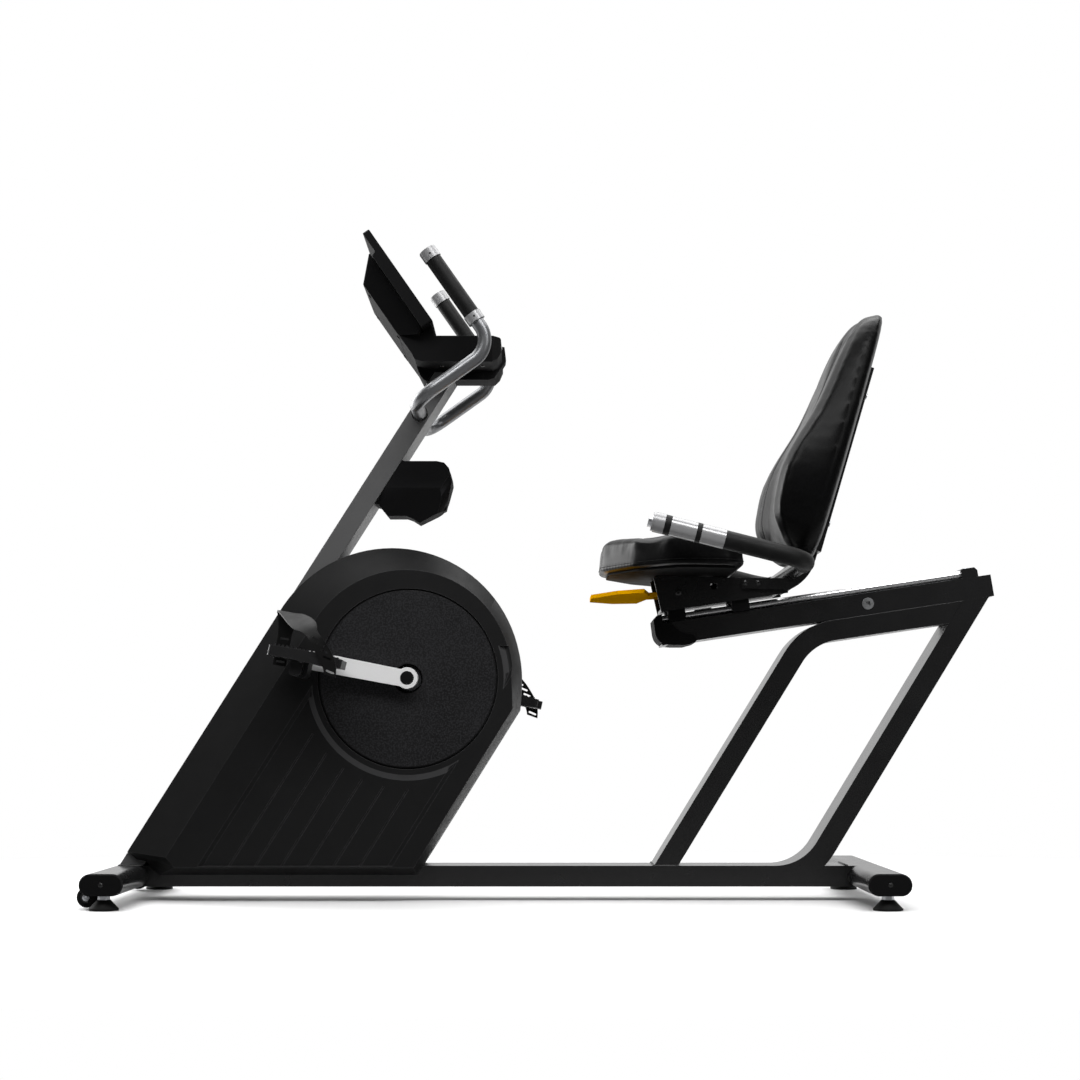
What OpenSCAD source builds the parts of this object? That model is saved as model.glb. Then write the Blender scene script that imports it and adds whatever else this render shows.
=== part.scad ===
// Recumbent exercise bike.
// Millimetres. +Z is up, +X runs from the crank towards the seat, the rider faces -X.
// The origin is on the floor, at the middle of the bike's length and width.

/* [Frame] */
// Width of the flat frame tubes, across the bike
tube_w = 100; // [90:1:104]
// Thickness of the flat frame tubes, seen from the side
tube_t = 38; // [36:1:40]
// Wall of the frame tubes
tube_wall = 2.5; // [2:0.5:3]
// Height of the underside of the main tube and stabilizers
base_z = 26; // [25:1:27]
// Radius of the two tube bends, at the middle of the tube
bend_r = 109; // [100:1:115]
// Lean of the mast and both legs, from the vertical
lean = 32; // [31.5:0.1:32.5]

/* [Stabilizers] */
// Overall length of each stabilizer with its end caps
stabilizer_l = 570; // [540:5:600]
// Depth of the stabilizers, front to rear
stabilizer_w = 76; // [72:1:80]
// Distance of each levelling foot from the centre line
foot_y = 255; // [245:1:258]
// Radius of the rubber foot pads
foot_r = 26; // [22:1:26]
// Radius of the transport wheels
wheel_r = 18; // [16:1:18]

/* [Seat rail] */
// Rise of the seat rail towards the rear
rail_tilt = 8.5; // [8:0.1:9]
// Length of the seat rail
rail_l = 626; // [610:1:640]
// Radius of the chromed guide rods
rod_r = 7; // [6:0.5:7.5]
// Travel of the seat along the rail
seat_travel = 380; // [300:10:390]

/* [Crank] */
// Length of the crank arms, axle to pedal
crank_l = 180; // [170:1:180]
// Angle of the left crank arm above the forward direction, at rest
crank_angle = 10.4; // [0:0.1:20]
// Forward slope of the pedal platforms
pedal_tilt = 12; // [0:1:15]

/* [Drive] */
// Radius of the crank pulley
pulley_r = 125; // [120:1:125]
// Radius of the flywheel pulley
small_pulley_r = 25; // [24:1:26]
// Radius of the flywheel
flywheel_r = 115; // [105:1:115]

/* [Seat] */
// Half the width of the seat cushion
seat_hw = 250; // [230:1:255]
// Half the width of the backrest
back_hw = 208; // [190:1:215]
// Distance of the side handles from the centre line
handle_y = 300; // [290:1:310]

/* [Hidden] */
$fn = 48;
origin_x = 3;
half_w = tube_w / 2;
lean_run = tan(lean);
flat_w = tube_t / cos(lean);
beam_top = base_z + tube_t;

// Stabilizers, feet and wheels
front_x = -777;
rear_x = 582;
cap_t = 5;
stab_hl = stabilizer_l / 2 - cap_t;
foot_h = 18;
stud_r = 6;
wheel_x = -812;
wheel_z = wheel_r + 2.5;
wheel_y = 222;
wheel_hw = 9;
wheel_pin_r = 4;

// Lines of the leaning members, where each would meet the floor
mast_x0 = -835;
front_leg_x0 = 148.2;
rear_leg_x0 = 421.1;
mast_top = 984;

// Centre lines of the two bent frame tubes
main_path = [
    [front_x + 20, base_z + tube_t / 2],
    [rear_leg_x0 + flat_w / 2 + (base_z + tube_t / 2) * lean_run, base_z + tube_t / 2],
    [rear_leg_x0 + flat_w / 2 + 600 * lean_run, 600]
];

// Seat rail: the front end of its top face
rail_x = 200;
rail_z = 508.7;
rail_t = 40.4;
rail_run = tan(rail_tilt);
rod_w = 8.2;
rod_y = 32;
rod_end = 592;
stop_u = 573;
plug_u = 391;
plug_r = 11;

// The front leg turns into a strut under the rail
strut_drop = (rail_t + tube_t / 2) / cos(rail_tilt);
strut_z0 = rail_z - rail_x * rail_run - strut_drop;
leg_mid_x0 = front_leg_x0 + flat_w / 2;
leg_corner_x = (leg_mid_x0 + lean_run * strut_z0) / (1 - lean_run * rail_run);
leg_path = [
    [leg_mid_x0 + 40 * lean_run, 40],
    [leg_corner_x, strut_z0 + rail_run * leg_corner_x],
    [800, strut_z0 + rail_run * 800]
];

// Crank and drive
crank_x = -263;
crank_z = 406;
axle_r = 10;
fly_x = -430;
fly_z = 200;
shaft_r = 8.5;
belt_y = 52;
plate_l = -39;
plate_r = 33;
plate_t = 6;
arm_in = 108;
arm_out = 125;
spindle_r = 5;
fit = 0.05;
pedal_in = 140;
pedal_out = 243;
pedal_dx = crank_l * cos(crank_angle);
pedal_dz = crank_l * sin(crank_angle);
strap_t = 2.4;
yoke_x = -442;
yoke_z = 339.5;

// Rows of the strap: across, then the two edges of the band, each along and up
strap_rows = [
    [138.75, -62, -22, -38, -21],
    [138.75, -63, 0, -39, 0],
    [138.75, -64, 20, -39.5, 20],
    [138.75, -65, 36, -40, 36],
    [140, -70, 62, -38, 58],
    [150, -74, 75, -35, 76],
    [190, -51, 60, -10, 74],
    [225, -29, 47, 9, 65],
    [241, -4, 41, 17, 50],
    [246, 9, 29, 29, 40],
    [246, 21, 15, 41, 28],
    [246, 33, 1, 53, 14],
    [246, 41, -12, 63, -6],
    [246, 44, -20, 66, -23]
];

// Slots of the strap: along, up, length, slope, and the side of the pedal they are on
strap_slots = [
    [17, 37, 15, 11, pedal_out], [28, 28, 15, 11, pedal_out], [36, 18, 15, 11, pedal_out],
    [44, 8, 15, 11, pedal_out], [54, -15, 16, 11, pedal_out],
    [-51, 28, 16, -4, pedal_in], [-50, -14, 16, -4, pedal_in]
];

// Housing
house_x = -297;
house_z = 408;
house_r = 242;
house_edge = 56;
house_face = 98;
house_wall = 4;
face_wall = 9;
house_rear_x0 = -277;
house_floor = 48;
face_x = -268;
face_z = 411;
face_r = 195;
face_front_x0 = -752;
face_rear_x0 = -290;
face_floor = 63;
disc_r = 162.4;
panel_x0 = -684;
panel_x1 = -330;
panel_floor = 66;
panel_depth = 5.5;
panel_slope = 7.6;
ridge_r = 175.5;
groove_x0 = -627;
groove_pitch = 47.5;
groove_arc = 201;

// Console
screen_x = -218;
screen_z = 1059;
screen_tilt = 34.7;
screen_hw = 160;
screen_h = 209;
shell_hw = 126;
tray_z0 = 989;
tray_z1 = 1038;
tray_x1 = -93.5;
pod_hw = 32;
pod_floor = 972.3;

// Front handlebar
bar_r = 12.7;
bar_y = 183;
bar_bend = 45;
bar_x = -247;
bar_z = 904.5;
bar_points = [
    [-227, -bar_y, 1183.5],
    [-104.7, -bar_y, 1007.5],
    [bar_x, -bar_y, bar_z],
    [bar_x, -half_w, bar_z]
];
grip_dir = (bar_points[1] - bar_points[0]) / norm(bar_points[1] - bar_points[0]);

// Seat
pad_z = 602.5;
plate_out = 60;
carriage_w = 21.7;
// The rear face of the back plate leans by back_tilt from this point
back_x = 491;
back_z = 627;
back_tilt = 16.8;
back_l = 367;
// Rows of the backrest: height, front at the bolsters, front at the middle, half width
back_rows = [
    [626, 447, 452, 0.62],
    [640, 432, 440, 0.80],
    [668, 417, 428, 0.93],
    [702, 404, 421, 0.98],
    [740, 408, 425, 1.00],
    [790, 421, 437, 1.00],
    [840, 447, 458, 0.98],
    [890, 479, 485, 0.95],
    [945, 506, 508, 0.90],
    [1000, 530, 527, 0.84],
    [1040, 549, 543, 0.76],
    [1068, 566, 560, 0.64],
    [1083, 581, 577, 0.48],
    [1089, 596, 594, 0.30]
];
arm_x = 446;
arm_z = 604.5;
arm_tilt = 14.2;
arm_bend = 45;
arm_r = 14;
arm_dir = [-cos(arm_tilt), 0, sin(arm_tilt)];
arm_l = 276;
sleeve_r = 16.8;
lever_x = 236;
lever_z = 567;

// ---------------------------------------------------------------- helpers

function unit(v) = v / norm(v);
function arc(c, r, a0, a1, n = 12) =
    [for (i = [0:n]) c + r * [cos(a0 + (a1 - a0) * i / n), sin(a0 + (a1 - a0) * i / n)]];
function turned(v, a) = [v.x * cos(a) - v.y * sin(a), v.x * sin(a) + v.y * cos(a)];
function reversed(list) = [for (i = [len(list) - 1:-1:0]) list[i]];

// One edge of a flat tube that runs a - c - b with a bend of radius r at c, d to the left of it
function bent_edge(a, c, b, r, d, n = 14) =
    let (u1 = unit(c - a), u2 = unit(b - c))
    let (phi = atan2(u1.x * u2.y - u1.y * u2.x, u1 * u2), s = sign(phi))
    let (n1 = [-u1.y, u1.x], n2 = [-u2.y, u2.x])
    let (centre = c - u1 * r * tan(abs(phi) / 2) + s * r * n1)
    concat([a + d * n1],
           [for (i = [0:n]) centre + (r - s * d) * turned(-s * n1, phi * i / n)],
           [b + d * n2]);

function bent_outline(a, c, b, r, t) =
    concat(bent_edge(a, c, b, r, t / 2), reversed(bent_edge(a, c, b, r, -t / 2)));

// Smooth values between control rows
function spline(p, i, t) =
    let (a = p[max(i - 1, 0)], b = p[i], c = p[i + 1], d = p[min(i + 2, len(p) - 1)])
    0.5 * ((2 * b) + (c - a) * t + (2 * a - 5 * b + 4 * c - d) * t * t
           + (3 * b - a - 3 * c + d) * t * t * t);
function smooth(p, n) =
    concat([for (i = [0:len(p) - 2], k = [0:n - 1]) spline(p, i, k / n)], [p[len(p) - 1]]);

// A side outline, in X and Z, given its thickness from y0 to y1
module side_slab(y0, y1) {
    translate([0, y1, 0])
        rotate([90, 0, 0])
            linear_extrude(y1 - y0)
                children();
}

module both_sides() {
    children();
    mirror([0, 1, 0])
        children();
}

// A round bar along Y
module bar_along_y(x, z, r, y0, y1) {
    translate([x, y0, z])
        rotate([-90, 0, 0])
            cylinder(r = r, h = y1 - y0);
}

// The frame of a leaning member whose front line meets the floor at x0
module leaning(x0) {
    translate([x0, 0, 0])
        rotate([0, lean, 0])
            children();
}

// The frame of the seat rail: X along it, Z off its top face
module on_rail() {
    translate([rail_x, 0, rail_z])
        rotate([0, -rail_tilt, 0])
            children();
}

// Everything above the underside of the rail
module above_rail() {
    on_rail()
        translate([-100, -80, -rail_t])
            cube([900, 160, 300]);
}

// A tube with flat sides and round front and rear, along Y
module obround(x, z, w, t, y0, y1) {
    for (s = [-1, 1])
        bar_along_y(x + s * (w - t) / 2, z, t / 2, y0, y1);
    translate([x - (w - t) / 2, y0, z - t / 2])
        cube([w - t, y1 - y0, t]);
}

// A round bar from a to b
module round_bar(a, b, r) {
    v = b - a;
    translate(a)
        rotate([0, acos(v.z / norm(v)), atan2(v.y, v.x)])
            cylinder(r = r, h = norm(v));
}

// A round bend of centre-line radius r at corner c, between directions u and v
module round_bend(c, u, v, bend, r) {
    phi = acos(u * v);
    n = unit(v - (u * v) * u);
    start = c - u * bend * tan(phi / 2);
    axis = cross(u, n);
    hub = start + n * bend;
    multmatrix([[-n.x, u.x, axis.x, hub.x],
                [-n.y, u.y, axis.y, hub.y],
                [-n.z, u.z, axis.z, hub.z],
                [0, 0, 0, 1]])
        rotate_extrude(angle = phi)
            translate([bend, 0])
                circle(r = r);
}

// A round bar that follows a list of corners, bent at each one.
// The bends differ from the bar by step, and the straight parts run 1 mm into them
module bent_bar(points, bend, r, step = -0.1) {
    last = len(points) - 1;
    for (i = [0:last - 1]) {
        a = points[i];
        b = points[i + 1];
        u = unit(b - a);
        cut_a = i == 0 ? 0 : bend * tan(acos(unit(a - points[i - 1]) * u) / 2) - 1;
        cut_b = i == last - 1 ? 0 : bend * tan(acos(u * unit(points[i + 2] - b)) / 2) - 1;
        round_bar(a + u * cut_a, b - u * cut_b, r);
        if (i < last - 1)
            round_bend(b, u, unit(points[i + 2] - b), bend, r + step);
    }
}

// The same path moved past both of its ends, for a bore
function past_ends(points, d) =
    let (last = len(points) - 1)
    [for (i = [0:last])
        i == 0 ? points[0] + unit(points[0] - points[1]) * d
        : i == last ? points[last] + unit(points[last] - points[last - 1]) * d
        : points[i]];

module bent_tube(points, bend, r, wall) {
    difference() {
        bent_bar(points, bend, r);
        bent_bar(past_ends(points, 1), bend, r - wall, 0.1);
    }
}

// A skin through rings of equal length, closed at both ends
module skin(rings) {
    m = len(rings[0]);
    n = len(rings);
    points = [for (ring = rings, p = ring) p];
    sides = [for (i = [0:n - 2], k = [0:m - 1])
        [i * m + k, i * m + (k + 1) % m, (i + 1) * m + (k + 1) % m, (i + 1) * m + k]];
    caps = [[for (k = [m - 1:-1:0]) k], [for (k = [0:m - 1]) (n - 1) * m + k]];
    polyhedron(points, concat(sides, caps), convexity = 6);
}

// ---------------------------------------------------------------- frame

// Main tube, rear bend and rear leg are one bent tube
module main_tube() {
    color("#1b1b1d")
        difference() {
            side_slab(-half_w, half_w)
                polygon(bent_outline(main_path[0], main_path[1], main_path[2], bend_r, tube_t));
            side_slab(-half_w + tube_wall, half_w - tube_wall)
                polygon(bent_outline(main_path[0] - [9, 0], main_path[1], main_path[2] + [5, 8],
                                     bend_r, tube_t - 2 * tube_wall));
            obround(front_x, base_z + tube_t / 2, stabilizer_w + 0.1, tube_t + 0.1, -60, 60);
            above_rail();
        }
}

// Front leg, its top bend and the strut under the rail are one bent tube
module front_leg() {
    color("#1b1b1d")
        difference() {
            side_slab(-half_w, half_w)
                polygon(bent_outline(leg_path[0], leg_path[1], leg_path[2], bend_r, tube_t));
            side_slab(-half_w + tube_wall, half_w - tube_wall)
                polygon(bent_outline(leg_path[0] - [6, 10], leg_path[1], leg_path[2] + [10, 1],
                                     bend_r, tube_t - 2 * tube_wall));
            translate([0, -80, beam_top - 100])
                cube([400, 160, 100]);
            leaning(rear_leg_x0)
                translate([0, -80, 300])
                    cube([200, 160, 600]);
            above_rail();
        }
}

module stabilizer(x) {
    difference() {
        obround(x, base_z + tube_t / 2, stabilizer_w, tube_t, -stab_hl, stab_hl);
        obround(x, base_z + tube_t / 2, stabilizer_w - 2 * tube_wall, tube_t - 2 * tube_wall,
                -stab_hl - 1, stab_hl + 1);
        both_sides()
            translate([x, foot_y, base_z - 1])
                cylinder(r = stud_r + 0.1, h = tube_t / 2);
    }
}

module front_stabilizer() {
    color("#1b1b1d")
        difference() {
            stabilizer(front_x);
            both_sides()
                bar_along_y(wheel_x, wheel_z, wheel_r + 2.5,
                            wheel_y - wheel_hw - 4, wheel_y + wheel_hw + 4);
        }
}

// The rear stabilizer carries the short box that joins it to the bend
module rear_stabilizer() {
    color("#1b1b1d") {
        stabilizer(rear_x);
        difference() {
            translate([400, -half_w, base_z])
                cube([rear_x - 400, tube_w, tube_t]);
            side_slab(-80, 80)
                polygon(concat([[0, -50]],
                    bent_edge(main_path[0], main_path[1], main_path[2], bend_r, -tube_t / 2),
                    [[0, 600]]));
            obround(rear_x, base_z + tube_t / 2, stabilizer_w, tube_t, -80, 80);
        }
    }
}

module stabilizer_caps() {
    color("#141414")
        for (x = [front_x, rear_x])
            both_sides() {
                obround(x, base_z + tube_t / 2, stabilizer_w, tube_t,
                        stab_hl, stab_hl + cap_t - 1.5);
                obround(x, base_z + tube_t / 2, stabilizer_w - 3, tube_t - 3,
                        stab_hl + cap_t - 1.5, stab_hl + cap_t);
            }
}

module at_each_foot() {
    for (x = [front_x, rear_x])
        both_sides()
            translate([x, foot_y, 0])
                children();
}

// Rubber pads: a cone on a thick rim, hollow below
module foot_pads() {
    color("#101010")
        at_each_foot()
            difference() {
                union() {
                    cylinder(r = foot_r, h = 4);
                    translate([0, 0, 4])
                        cylinder(r1 = foot_r - 1, r2 = 12, h = foot_h - 4);
                }
                translate([0, 0, 9])
                    cylinder(r = stud_r + 0.1, h = foot_h);
            }
}

module foot_studs() {
    color("#2b2b2d")
        at_each_foot() {
            translate([0, 0, 9.2])
                cylinder(r = stud_r, h = 30);
            translate([0, 0, foot_h + 0.2])
                cylinder(r = 11, h = base_z - foot_h - 0.4, $fn = 6);
        }
}

// Wheel pins and the two ears that hold each of them
module wheel_axles() {
    color("#8d8f92")
        both_sides() {
            bar_along_y(wheel_x, wheel_z, wheel_pin_r,
                        wheel_y - wheel_hw - 7, wheel_y + wheel_hw + 7);
            for (y = [wheel_y - wheel_hw - 4, wheel_y + wheel_hw + 1])
                difference() {
                    union() {
                        bar_along_y(wheel_x, wheel_z, 9, y, y + 3);
                        translate([wheel_x, y, wheel_z - 6])
                            cube([28, 3, 24]);
                    }
                    obround(front_x, base_z + tube_t / 2, stabilizer_w, tube_t, y - 1, y + 4);
                    translate([wheel_x + 8, y - 1, wheel_z - 14])
                        rotate([0, -38, 0])
                            cube([40, 5, 12]);
                }
        }
}

module transport_wheel() {
    color("#19191a")
        difference() {
            union() {
                bar_along_y(wheel_x, wheel_z, wheel_r, wheel_y - wheel_hw + 1,
                            wheel_y + wheel_hw - 1);
                bar_along_y(wheel_x, wheel_z, wheel_r - 2, wheel_y - wheel_hw,
                            wheel_y + wheel_hw);
            }
            bar_along_y(wheel_x, wheel_z, wheel_pin_r + fit, wheel_y - 20, wheel_y + 20);
            for (s = [-1, 1])
                difference() {
                    bar_along_y(wheel_x, wheel_z, wheel_r - 4, wheel_y + s * wheel_hw - 2,
                                wheel_y + s * wheel_hw + 2);
                    bar_along_y(wheel_x, wheel_z, 7, wheel_y - 20, wheel_y + 20);
                }
        }
}

module transport_wheel_left() {
    mirror([0, 1, 0])
        transport_wheel();
}

module transport_wheel_right() {
    transport_wheel();
}

// ---------------------------------------------------------------- mast

module mast_body(grow) {
    leaning(mast_x0)
        translate([-grow, -half_w - grow, 0])
            cube([tube_t + 2 * grow, tube_w + 2 * grow, 1300]);
}

module mast() {
    color("#4c4d50")
        intersection() {
            leaning(mast_x0)
                difference() {
                    translate([0, -half_w, 0])
                        cube([tube_t, tube_w, 1300]);
                    translate([tube_wall, -half_w + tube_wall, -10])
                        cube([tube_t - 2 * tube_wall, tube_w - 2 * tube_wall, 1320]);
                }
            translate([-1000, -100, beam_top])
                cube([1000, 200, mast_top - beam_top]);
        }
}

// ---------------------------------------------------------------- drive

module drive_plate(y) {
    side_slab(y, y + plate_t) {
        polygon([[-545, beam_top], [-335, beam_top], [-222, 392], [-300, 428],
                 [yoke_x, yoke_z + 18], [-480, 240]]);
        translate([crank_x, crank_z])
            circle(r = 46);
        translate([yoke_x, yoke_z])
            circle(r = 18);
    }
}

// Two welded plates that carry the crank shell, the flywheel shaft and the brake pivot
module drive_bracket() {
    color("#2a2a2c") {
        difference() {
            union() {
                drive_plate(plate_l);
                drive_plate(plate_r);
                bar_along_y(crank_x, crank_z, 27, plate_l - 3, plate_r + plate_t + 2);
                bar_along_y(fly_x, fly_z, 24, plate_l - 6, plate_l + plate_t);
                bar_along_y(fly_x, fly_z, 24, plate_r, plate_r + plate_t + 2);
            }
            bar_along_y(crank_x, crank_z, 17, -60, 60);
            bar_along_y(crank_x, crank_z, 21.05, plate_l - 4, plate_l + 9);
            bar_along_y(crank_x, crank_z, 21.05, plate_r - 5, plate_r + plate_t + 4);
            bar_along_y(fly_x, fly_z, 17.55, plate_l - 7, plate_l + plate_t + 1);
            bar_along_y(fly_x, fly_z, 17.55, plate_r - 1, plate_r + plate_t + 4);
            side_slab(-60, 60)
                polygon([[-480, 96], [-380, 96], [-350, 180], [-378, 130], [-470, 130]]);
        }
        bar_along_y(yoke_x, yoke_z, spindle_r, plate_l + plate_t, plate_r);
    }
}

module bearing(x, z, r_in, r_out, y0, y1) {
    difference() {
        bar_along_y(x, z, r_out, y0, y1);
        bar_along_y(x, z, r_in, y0 - 1, y1 + 1);
        for (y = [y0 - 1, y1 - 0.8])
            difference() {
                bar_along_y(x, z, r_out - 3, y, y + 1.8);
                bar_along_y(x, z, r_in + 2.5, y - 1, y + 3);
            }
    }
}

// Two crank bearings and two flywheel bearings
module drive_bearings() {
    color("#b9bbbe") {
        bearing(crank_x, crank_z, axle_r + fit, 21, plate_l - 3, plate_l + 9);
        bearing(crank_x, crank_z, axle_r + fit, 21, plate_r - 4, plate_r + plate_t + 2);
        bearing(fly_x, fly_z, shaft_r + fit, 17.5, plate_l - 5, plate_l + plate_t);
        bearing(fly_x, fly_z, shaft_r + fit, 17.5, plate_r, plate_r + plate_t + 2);
    }
}

module belt_loop(extra) {
    hull() {
        translate([crank_x, crank_z])
            circle(r = pulley_r + extra, $fn = 96);
        translate([fly_x, fly_z])
            circle(r = small_pulley_r + extra, $fn = 48);
    }
}

module drive_belt() {
    color("#0e0e0e")
        difference() {
            side_slab(belt_y - 6, belt_y + 6)
                belt_loop(3.4);
            side_slab(belt_y - 7, belt_y + 7)
                belt_loop(0.4);
        }
}

module grooved_rim(x, z, r) {
    bar_along_y(x, z, r, belt_y - 7, belt_y + 7);
    for (y = [belt_y - 8.5, belt_y + 7])
        bar_along_y(x, z, r + 2, y, y + 1.5);
}

module drive_pulley() {
    color("#26272a")
        difference() {
            union() {
                difference() {
                    grooved_rim(crank_x, crank_z, pulley_r, $fn = 96);
                    for (y = [belt_y - 9, belt_y + 3])
                        bar_along_y(crank_x, crank_z, pulley_r - 8, y, y + 6);
                    for (i = [0:5])
                        bar_along_y(crank_x + 76 * cos(60 * i), crank_z + 76 * sin(60 * i),
                                    27, belt_y - 10, belt_y + 10);
                }
                bar_along_y(crank_x, crank_z, 24, belt_y - 8.5, belt_y + 10);
            }
            bar_along_y(crank_x, crank_z, axle_r + fit, 0, 90);
        }
}

module flywheel() {
    color("#6f7277")
        difference() {
            union() {
                difference() {
                    bar_along_y(fly_x, fly_z, flywheel_r, -16, 14, $fn = 96);
                    for (y = [-17, 4])
                        bar_along_y(fly_x, fly_z, flywheel_r - 26, y, y + 11, $fn = 96);
                    for (i = [0:4])
                        bar_along_y(fly_x + 58 * cos(72 * i), fly_z + 58 * sin(72 * i),
                                    17, -20, 20);
                }
                bar_along_y(fly_x, fly_z, 22, -20, 18);
            }
            bar_along_y(fly_x, fly_z, shaft_r + fit, -40, 40);
        }
}

// Shaft and its small pulley
module flywheel_shaft() {
    color("#9b9da1") {
        bar_along_y(fly_x, fly_z, shaft_r, plate_l - 6, belt_y + 12);
        difference() {
            grooved_rim(fly_x, fly_z, small_pulley_r);
            bar_along_y(fly_x, fly_z, shaft_r, 0, 90);
        }
    }
}

// Magnet carrier that swings over the rim of the flywheel
module brake_yoke() {
    color("#58595c")
        difference() {
            union() {
                intersection() {
                    difference() {
                        bar_along_y(fly_x, fly_z, 128, -24, 22, $fn = 96);
                        bar_along_y(fly_x, fly_z, 96, -25, 23, $fn = 96);
                    }
                    side_slab(-25, 23)
                        translate([fly_x, fly_z])
                            polygon([[0, 0], 200 * [cos(90), sin(90)], 200 * [cos(120), sin(120)],
                                     200 * [cos(150), sin(150)]]);
                }
                side_slab(-24, 22)
                    polygon([[yoke_x - 11, yoke_z], [yoke_x + 11, yoke_z],
                             [yoke_x + 11, fly_z + 121], [yoke_x - 18, fly_z + 121]]);
                bar_along_y(yoke_x, yoke_z, 11, -24, 22);
            }
            bar_along_y(fly_x, fly_z, flywheel_r + 3, -19, 17, $fn = 96);
            bar_along_y(yoke_x, yoke_z, spindle_r + fit, -40, 40);
        }
}

// ---------------------------------------------------------------- housing

// Outline of the housing, pulled in by inset: a round top on a slanted lower part
module housing_outline(inset) {
    front = mast_x0 + inset / cos(lean);
    rear = house_rear_x0 - inset / cos(lean);
    intersection() {
        hull() {
            translate([house_x, house_z])
                circle(r = house_r - inset, $fn = 96);
            polygon([[front + 410 * lean_run, 410], [front + 90 * lean_run, 90],
                     [-761 + 3 * inset, 76 + 3 * inset], [-720 + 9 * inset, house_floor],
                     [rear + 71 * lean_run - 15, house_floor], [rear + 71 * lean_run, 71],
                     [rear + 350 * lean_run, 350]]);
        }
        polygon([[-900, 0], [rear, 0], [rear + 700 * lean_run, 700], [-900, 700]]);
    }
}

// Outline of the flat side face
module face_outline(inset) {
    front = face_front_x0 + inset / cos(lean);
    rear = face_rear_x0 - inset / cos(lean);
    intersection() {
        hull() {
            translate([face_x, face_z])
                circle(r = face_r - inset, $fn = 96);
            polygon([[front + 400 * lean_run, 400], [front + 82 * lean_run, 82],
                     [front + 82 * lean_run + 16 + inset, face_floor],
                     [rear + face_floor * lean_run, face_floor], [rear + 350 * lean_run, 350]]);
        }
        polygon([[-900, 0], [rear, 0], [rear + 700 * lean_run, 700], [-900, 700]]);
    }
}

module housing_block(inset, face) {
    hull() {
        side_slab(0, house_edge - inset)
            housing_outline(inset);
        side_slab(0, face)
            face_outline(inset);
    }
}

// Panel below the disc: sunk, with sloping edges, its top edge an arc round the crank
module panel_cut() {
    width = (panel_x1 - panel_x0) * cos(lean);
    over = panel_slope / panel_depth;
    ridge = 1.9;
    intersection() {
        difference() {
            leaning(panel_x0)
                linear_extrude(900)
                    polygon([[-over, house_face + 1], [width + over, house_face + 1],
                             [width - panel_slope, house_face - panel_depth],
                             [panel_slope, house_face - panel_depth]]);
            translate([crank_x, house_face - panel_depth - 1, crank_z])
                rotate([-90, 0, 0])
                    cylinder(r1 = ridge_r + ridge * (panel_depth + 1), r2 = ridge_r - 2 * ridge,
                             h = panel_depth + 3, $fn = 96);
        }
        translate([-900, house_face - 20, panel_floor])
            cube([900, 40, 400]);
    }
}

// Narrow slanted grooves in the sunk panel, which end on an arc round the crank
module panel_grooves() {
    for (i = [0:5]) {
        x = groove_x0 + groove_pitch * i;
        b = (x - crank_x) * sin(lean) - crank_z * cos(lean);
        c = (x - crank_x) * (x - crank_x) + crank_z * crank_z - groove_arc * groove_arc;
        leaning(x)
            translate([-1.4, house_face - panel_depth - 1.6, panel_floor / cos(lean)])
                cube([2.8, 8, -b - sqrt(b * b - c) - panel_floor / cos(lean)]);
    }
}

// One moulded half of the housing, on the +Y side
module housing_half() {
    color("#1d1d1e")
        difference() {
            housing_block(0, house_face);
            housing_block(house_wall, house_face - face_wall);
            mast_body(0.4);
            translate([-900, -10, 0])
                cube([700, half_w + 10.4, beam_top + 0.4]);
            translate([-690, -10, house_floor - 30])
                cube([690, house_edge - house_wall + 10, 40]);
            side_slab(-1, house_face + 1)
                polygon([[-780, 40], [-761, 76], [-741, 73], [-730, 58], [-719, house_floor],
                         [-719, 40]]);
            bar_along_y(crank_x, crank_z, disc_r + 3, house_face - 6, house_face + 10,
                        $fn = 96);
            bar_along_y(crank_x, crank_z, 60, 0, house_face + 10);
            panel_cut();
            panel_grooves();
        }
}

module housing_right() {
    housing_half();
}

module housing_left() {
    mirror([0, 1, 0])
        housing_half();
}

// Round cover of the crank, seated in the housing's recess
module disc_cover() {
    color("#2c2c2d")
        difference() {
            union() {
                bar_along_y(crank_x, crank_z, disc_r, house_face - 6, house_face - 1.5,
                            $fn = 96);
                bar_along_y(crank_x, crank_z, disc_r - 1.5, house_face - 1.5,
                            house_face - 0.5, $fn = 96);
                bar_along_y(crank_x, crank_z, 34, house_face - 14, house_face - 6);
            }
            bar_along_y(crank_x, crank_z, 27, 0, 120);
        }
}

module disc_cover_right() {
    disc_cover();
}

module disc_cover_left() {
    mirror([0, 1, 0])
        disc_cover();
}

// ---------------------------------------------------------------- console

// The frame of the screen: Z up along it, X off it towards the rider
module on_screen() {
    translate([screen_x, 0, screen_z])
        rotate([0, -screen_tilt, 0])
            children();
}

// A rectangle in Y and Z with round corners, given its depth along X
module round_slab(x0, x1, hw, z0, z1, r) {
    translate([x0, 0, 0])
        rotate([90, 0, 90])
            linear_extrude(x1 - x0)
                union() {
                    for (y = [-hw + r, hw - r], z = [z0 + r, z1 - r])
                        translate([y, z])
                            circle(r = r);
                    translate([-hw + r, z0])
                        square([2 * (hw - r), z1 - z0]);
                    translate([-hw, z0 + r])
                        square([2 * hw, z1 - z0 - 2 * r]);
                }
}

module display_panel() {
    color("#0d0d0e")
        on_screen()
            difference() {
                intersection() {
                    round_slab(-23, 0, screen_hw, 0, screen_h, 5);
                    side_slab(-200, 200)
                        polygon([[-23, -1], [0, -1], [0, screen_h - 2], [-2, screen_h + 1],
                                 [-13, screen_h + 1], [-14, screen_h - 3], [-14, 167],
                                 [-23, 163]]);
                }
                round_slab(-1.5, 2, screen_hw - 9, 9, screen_h - 9, 6);
            }
}

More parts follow.
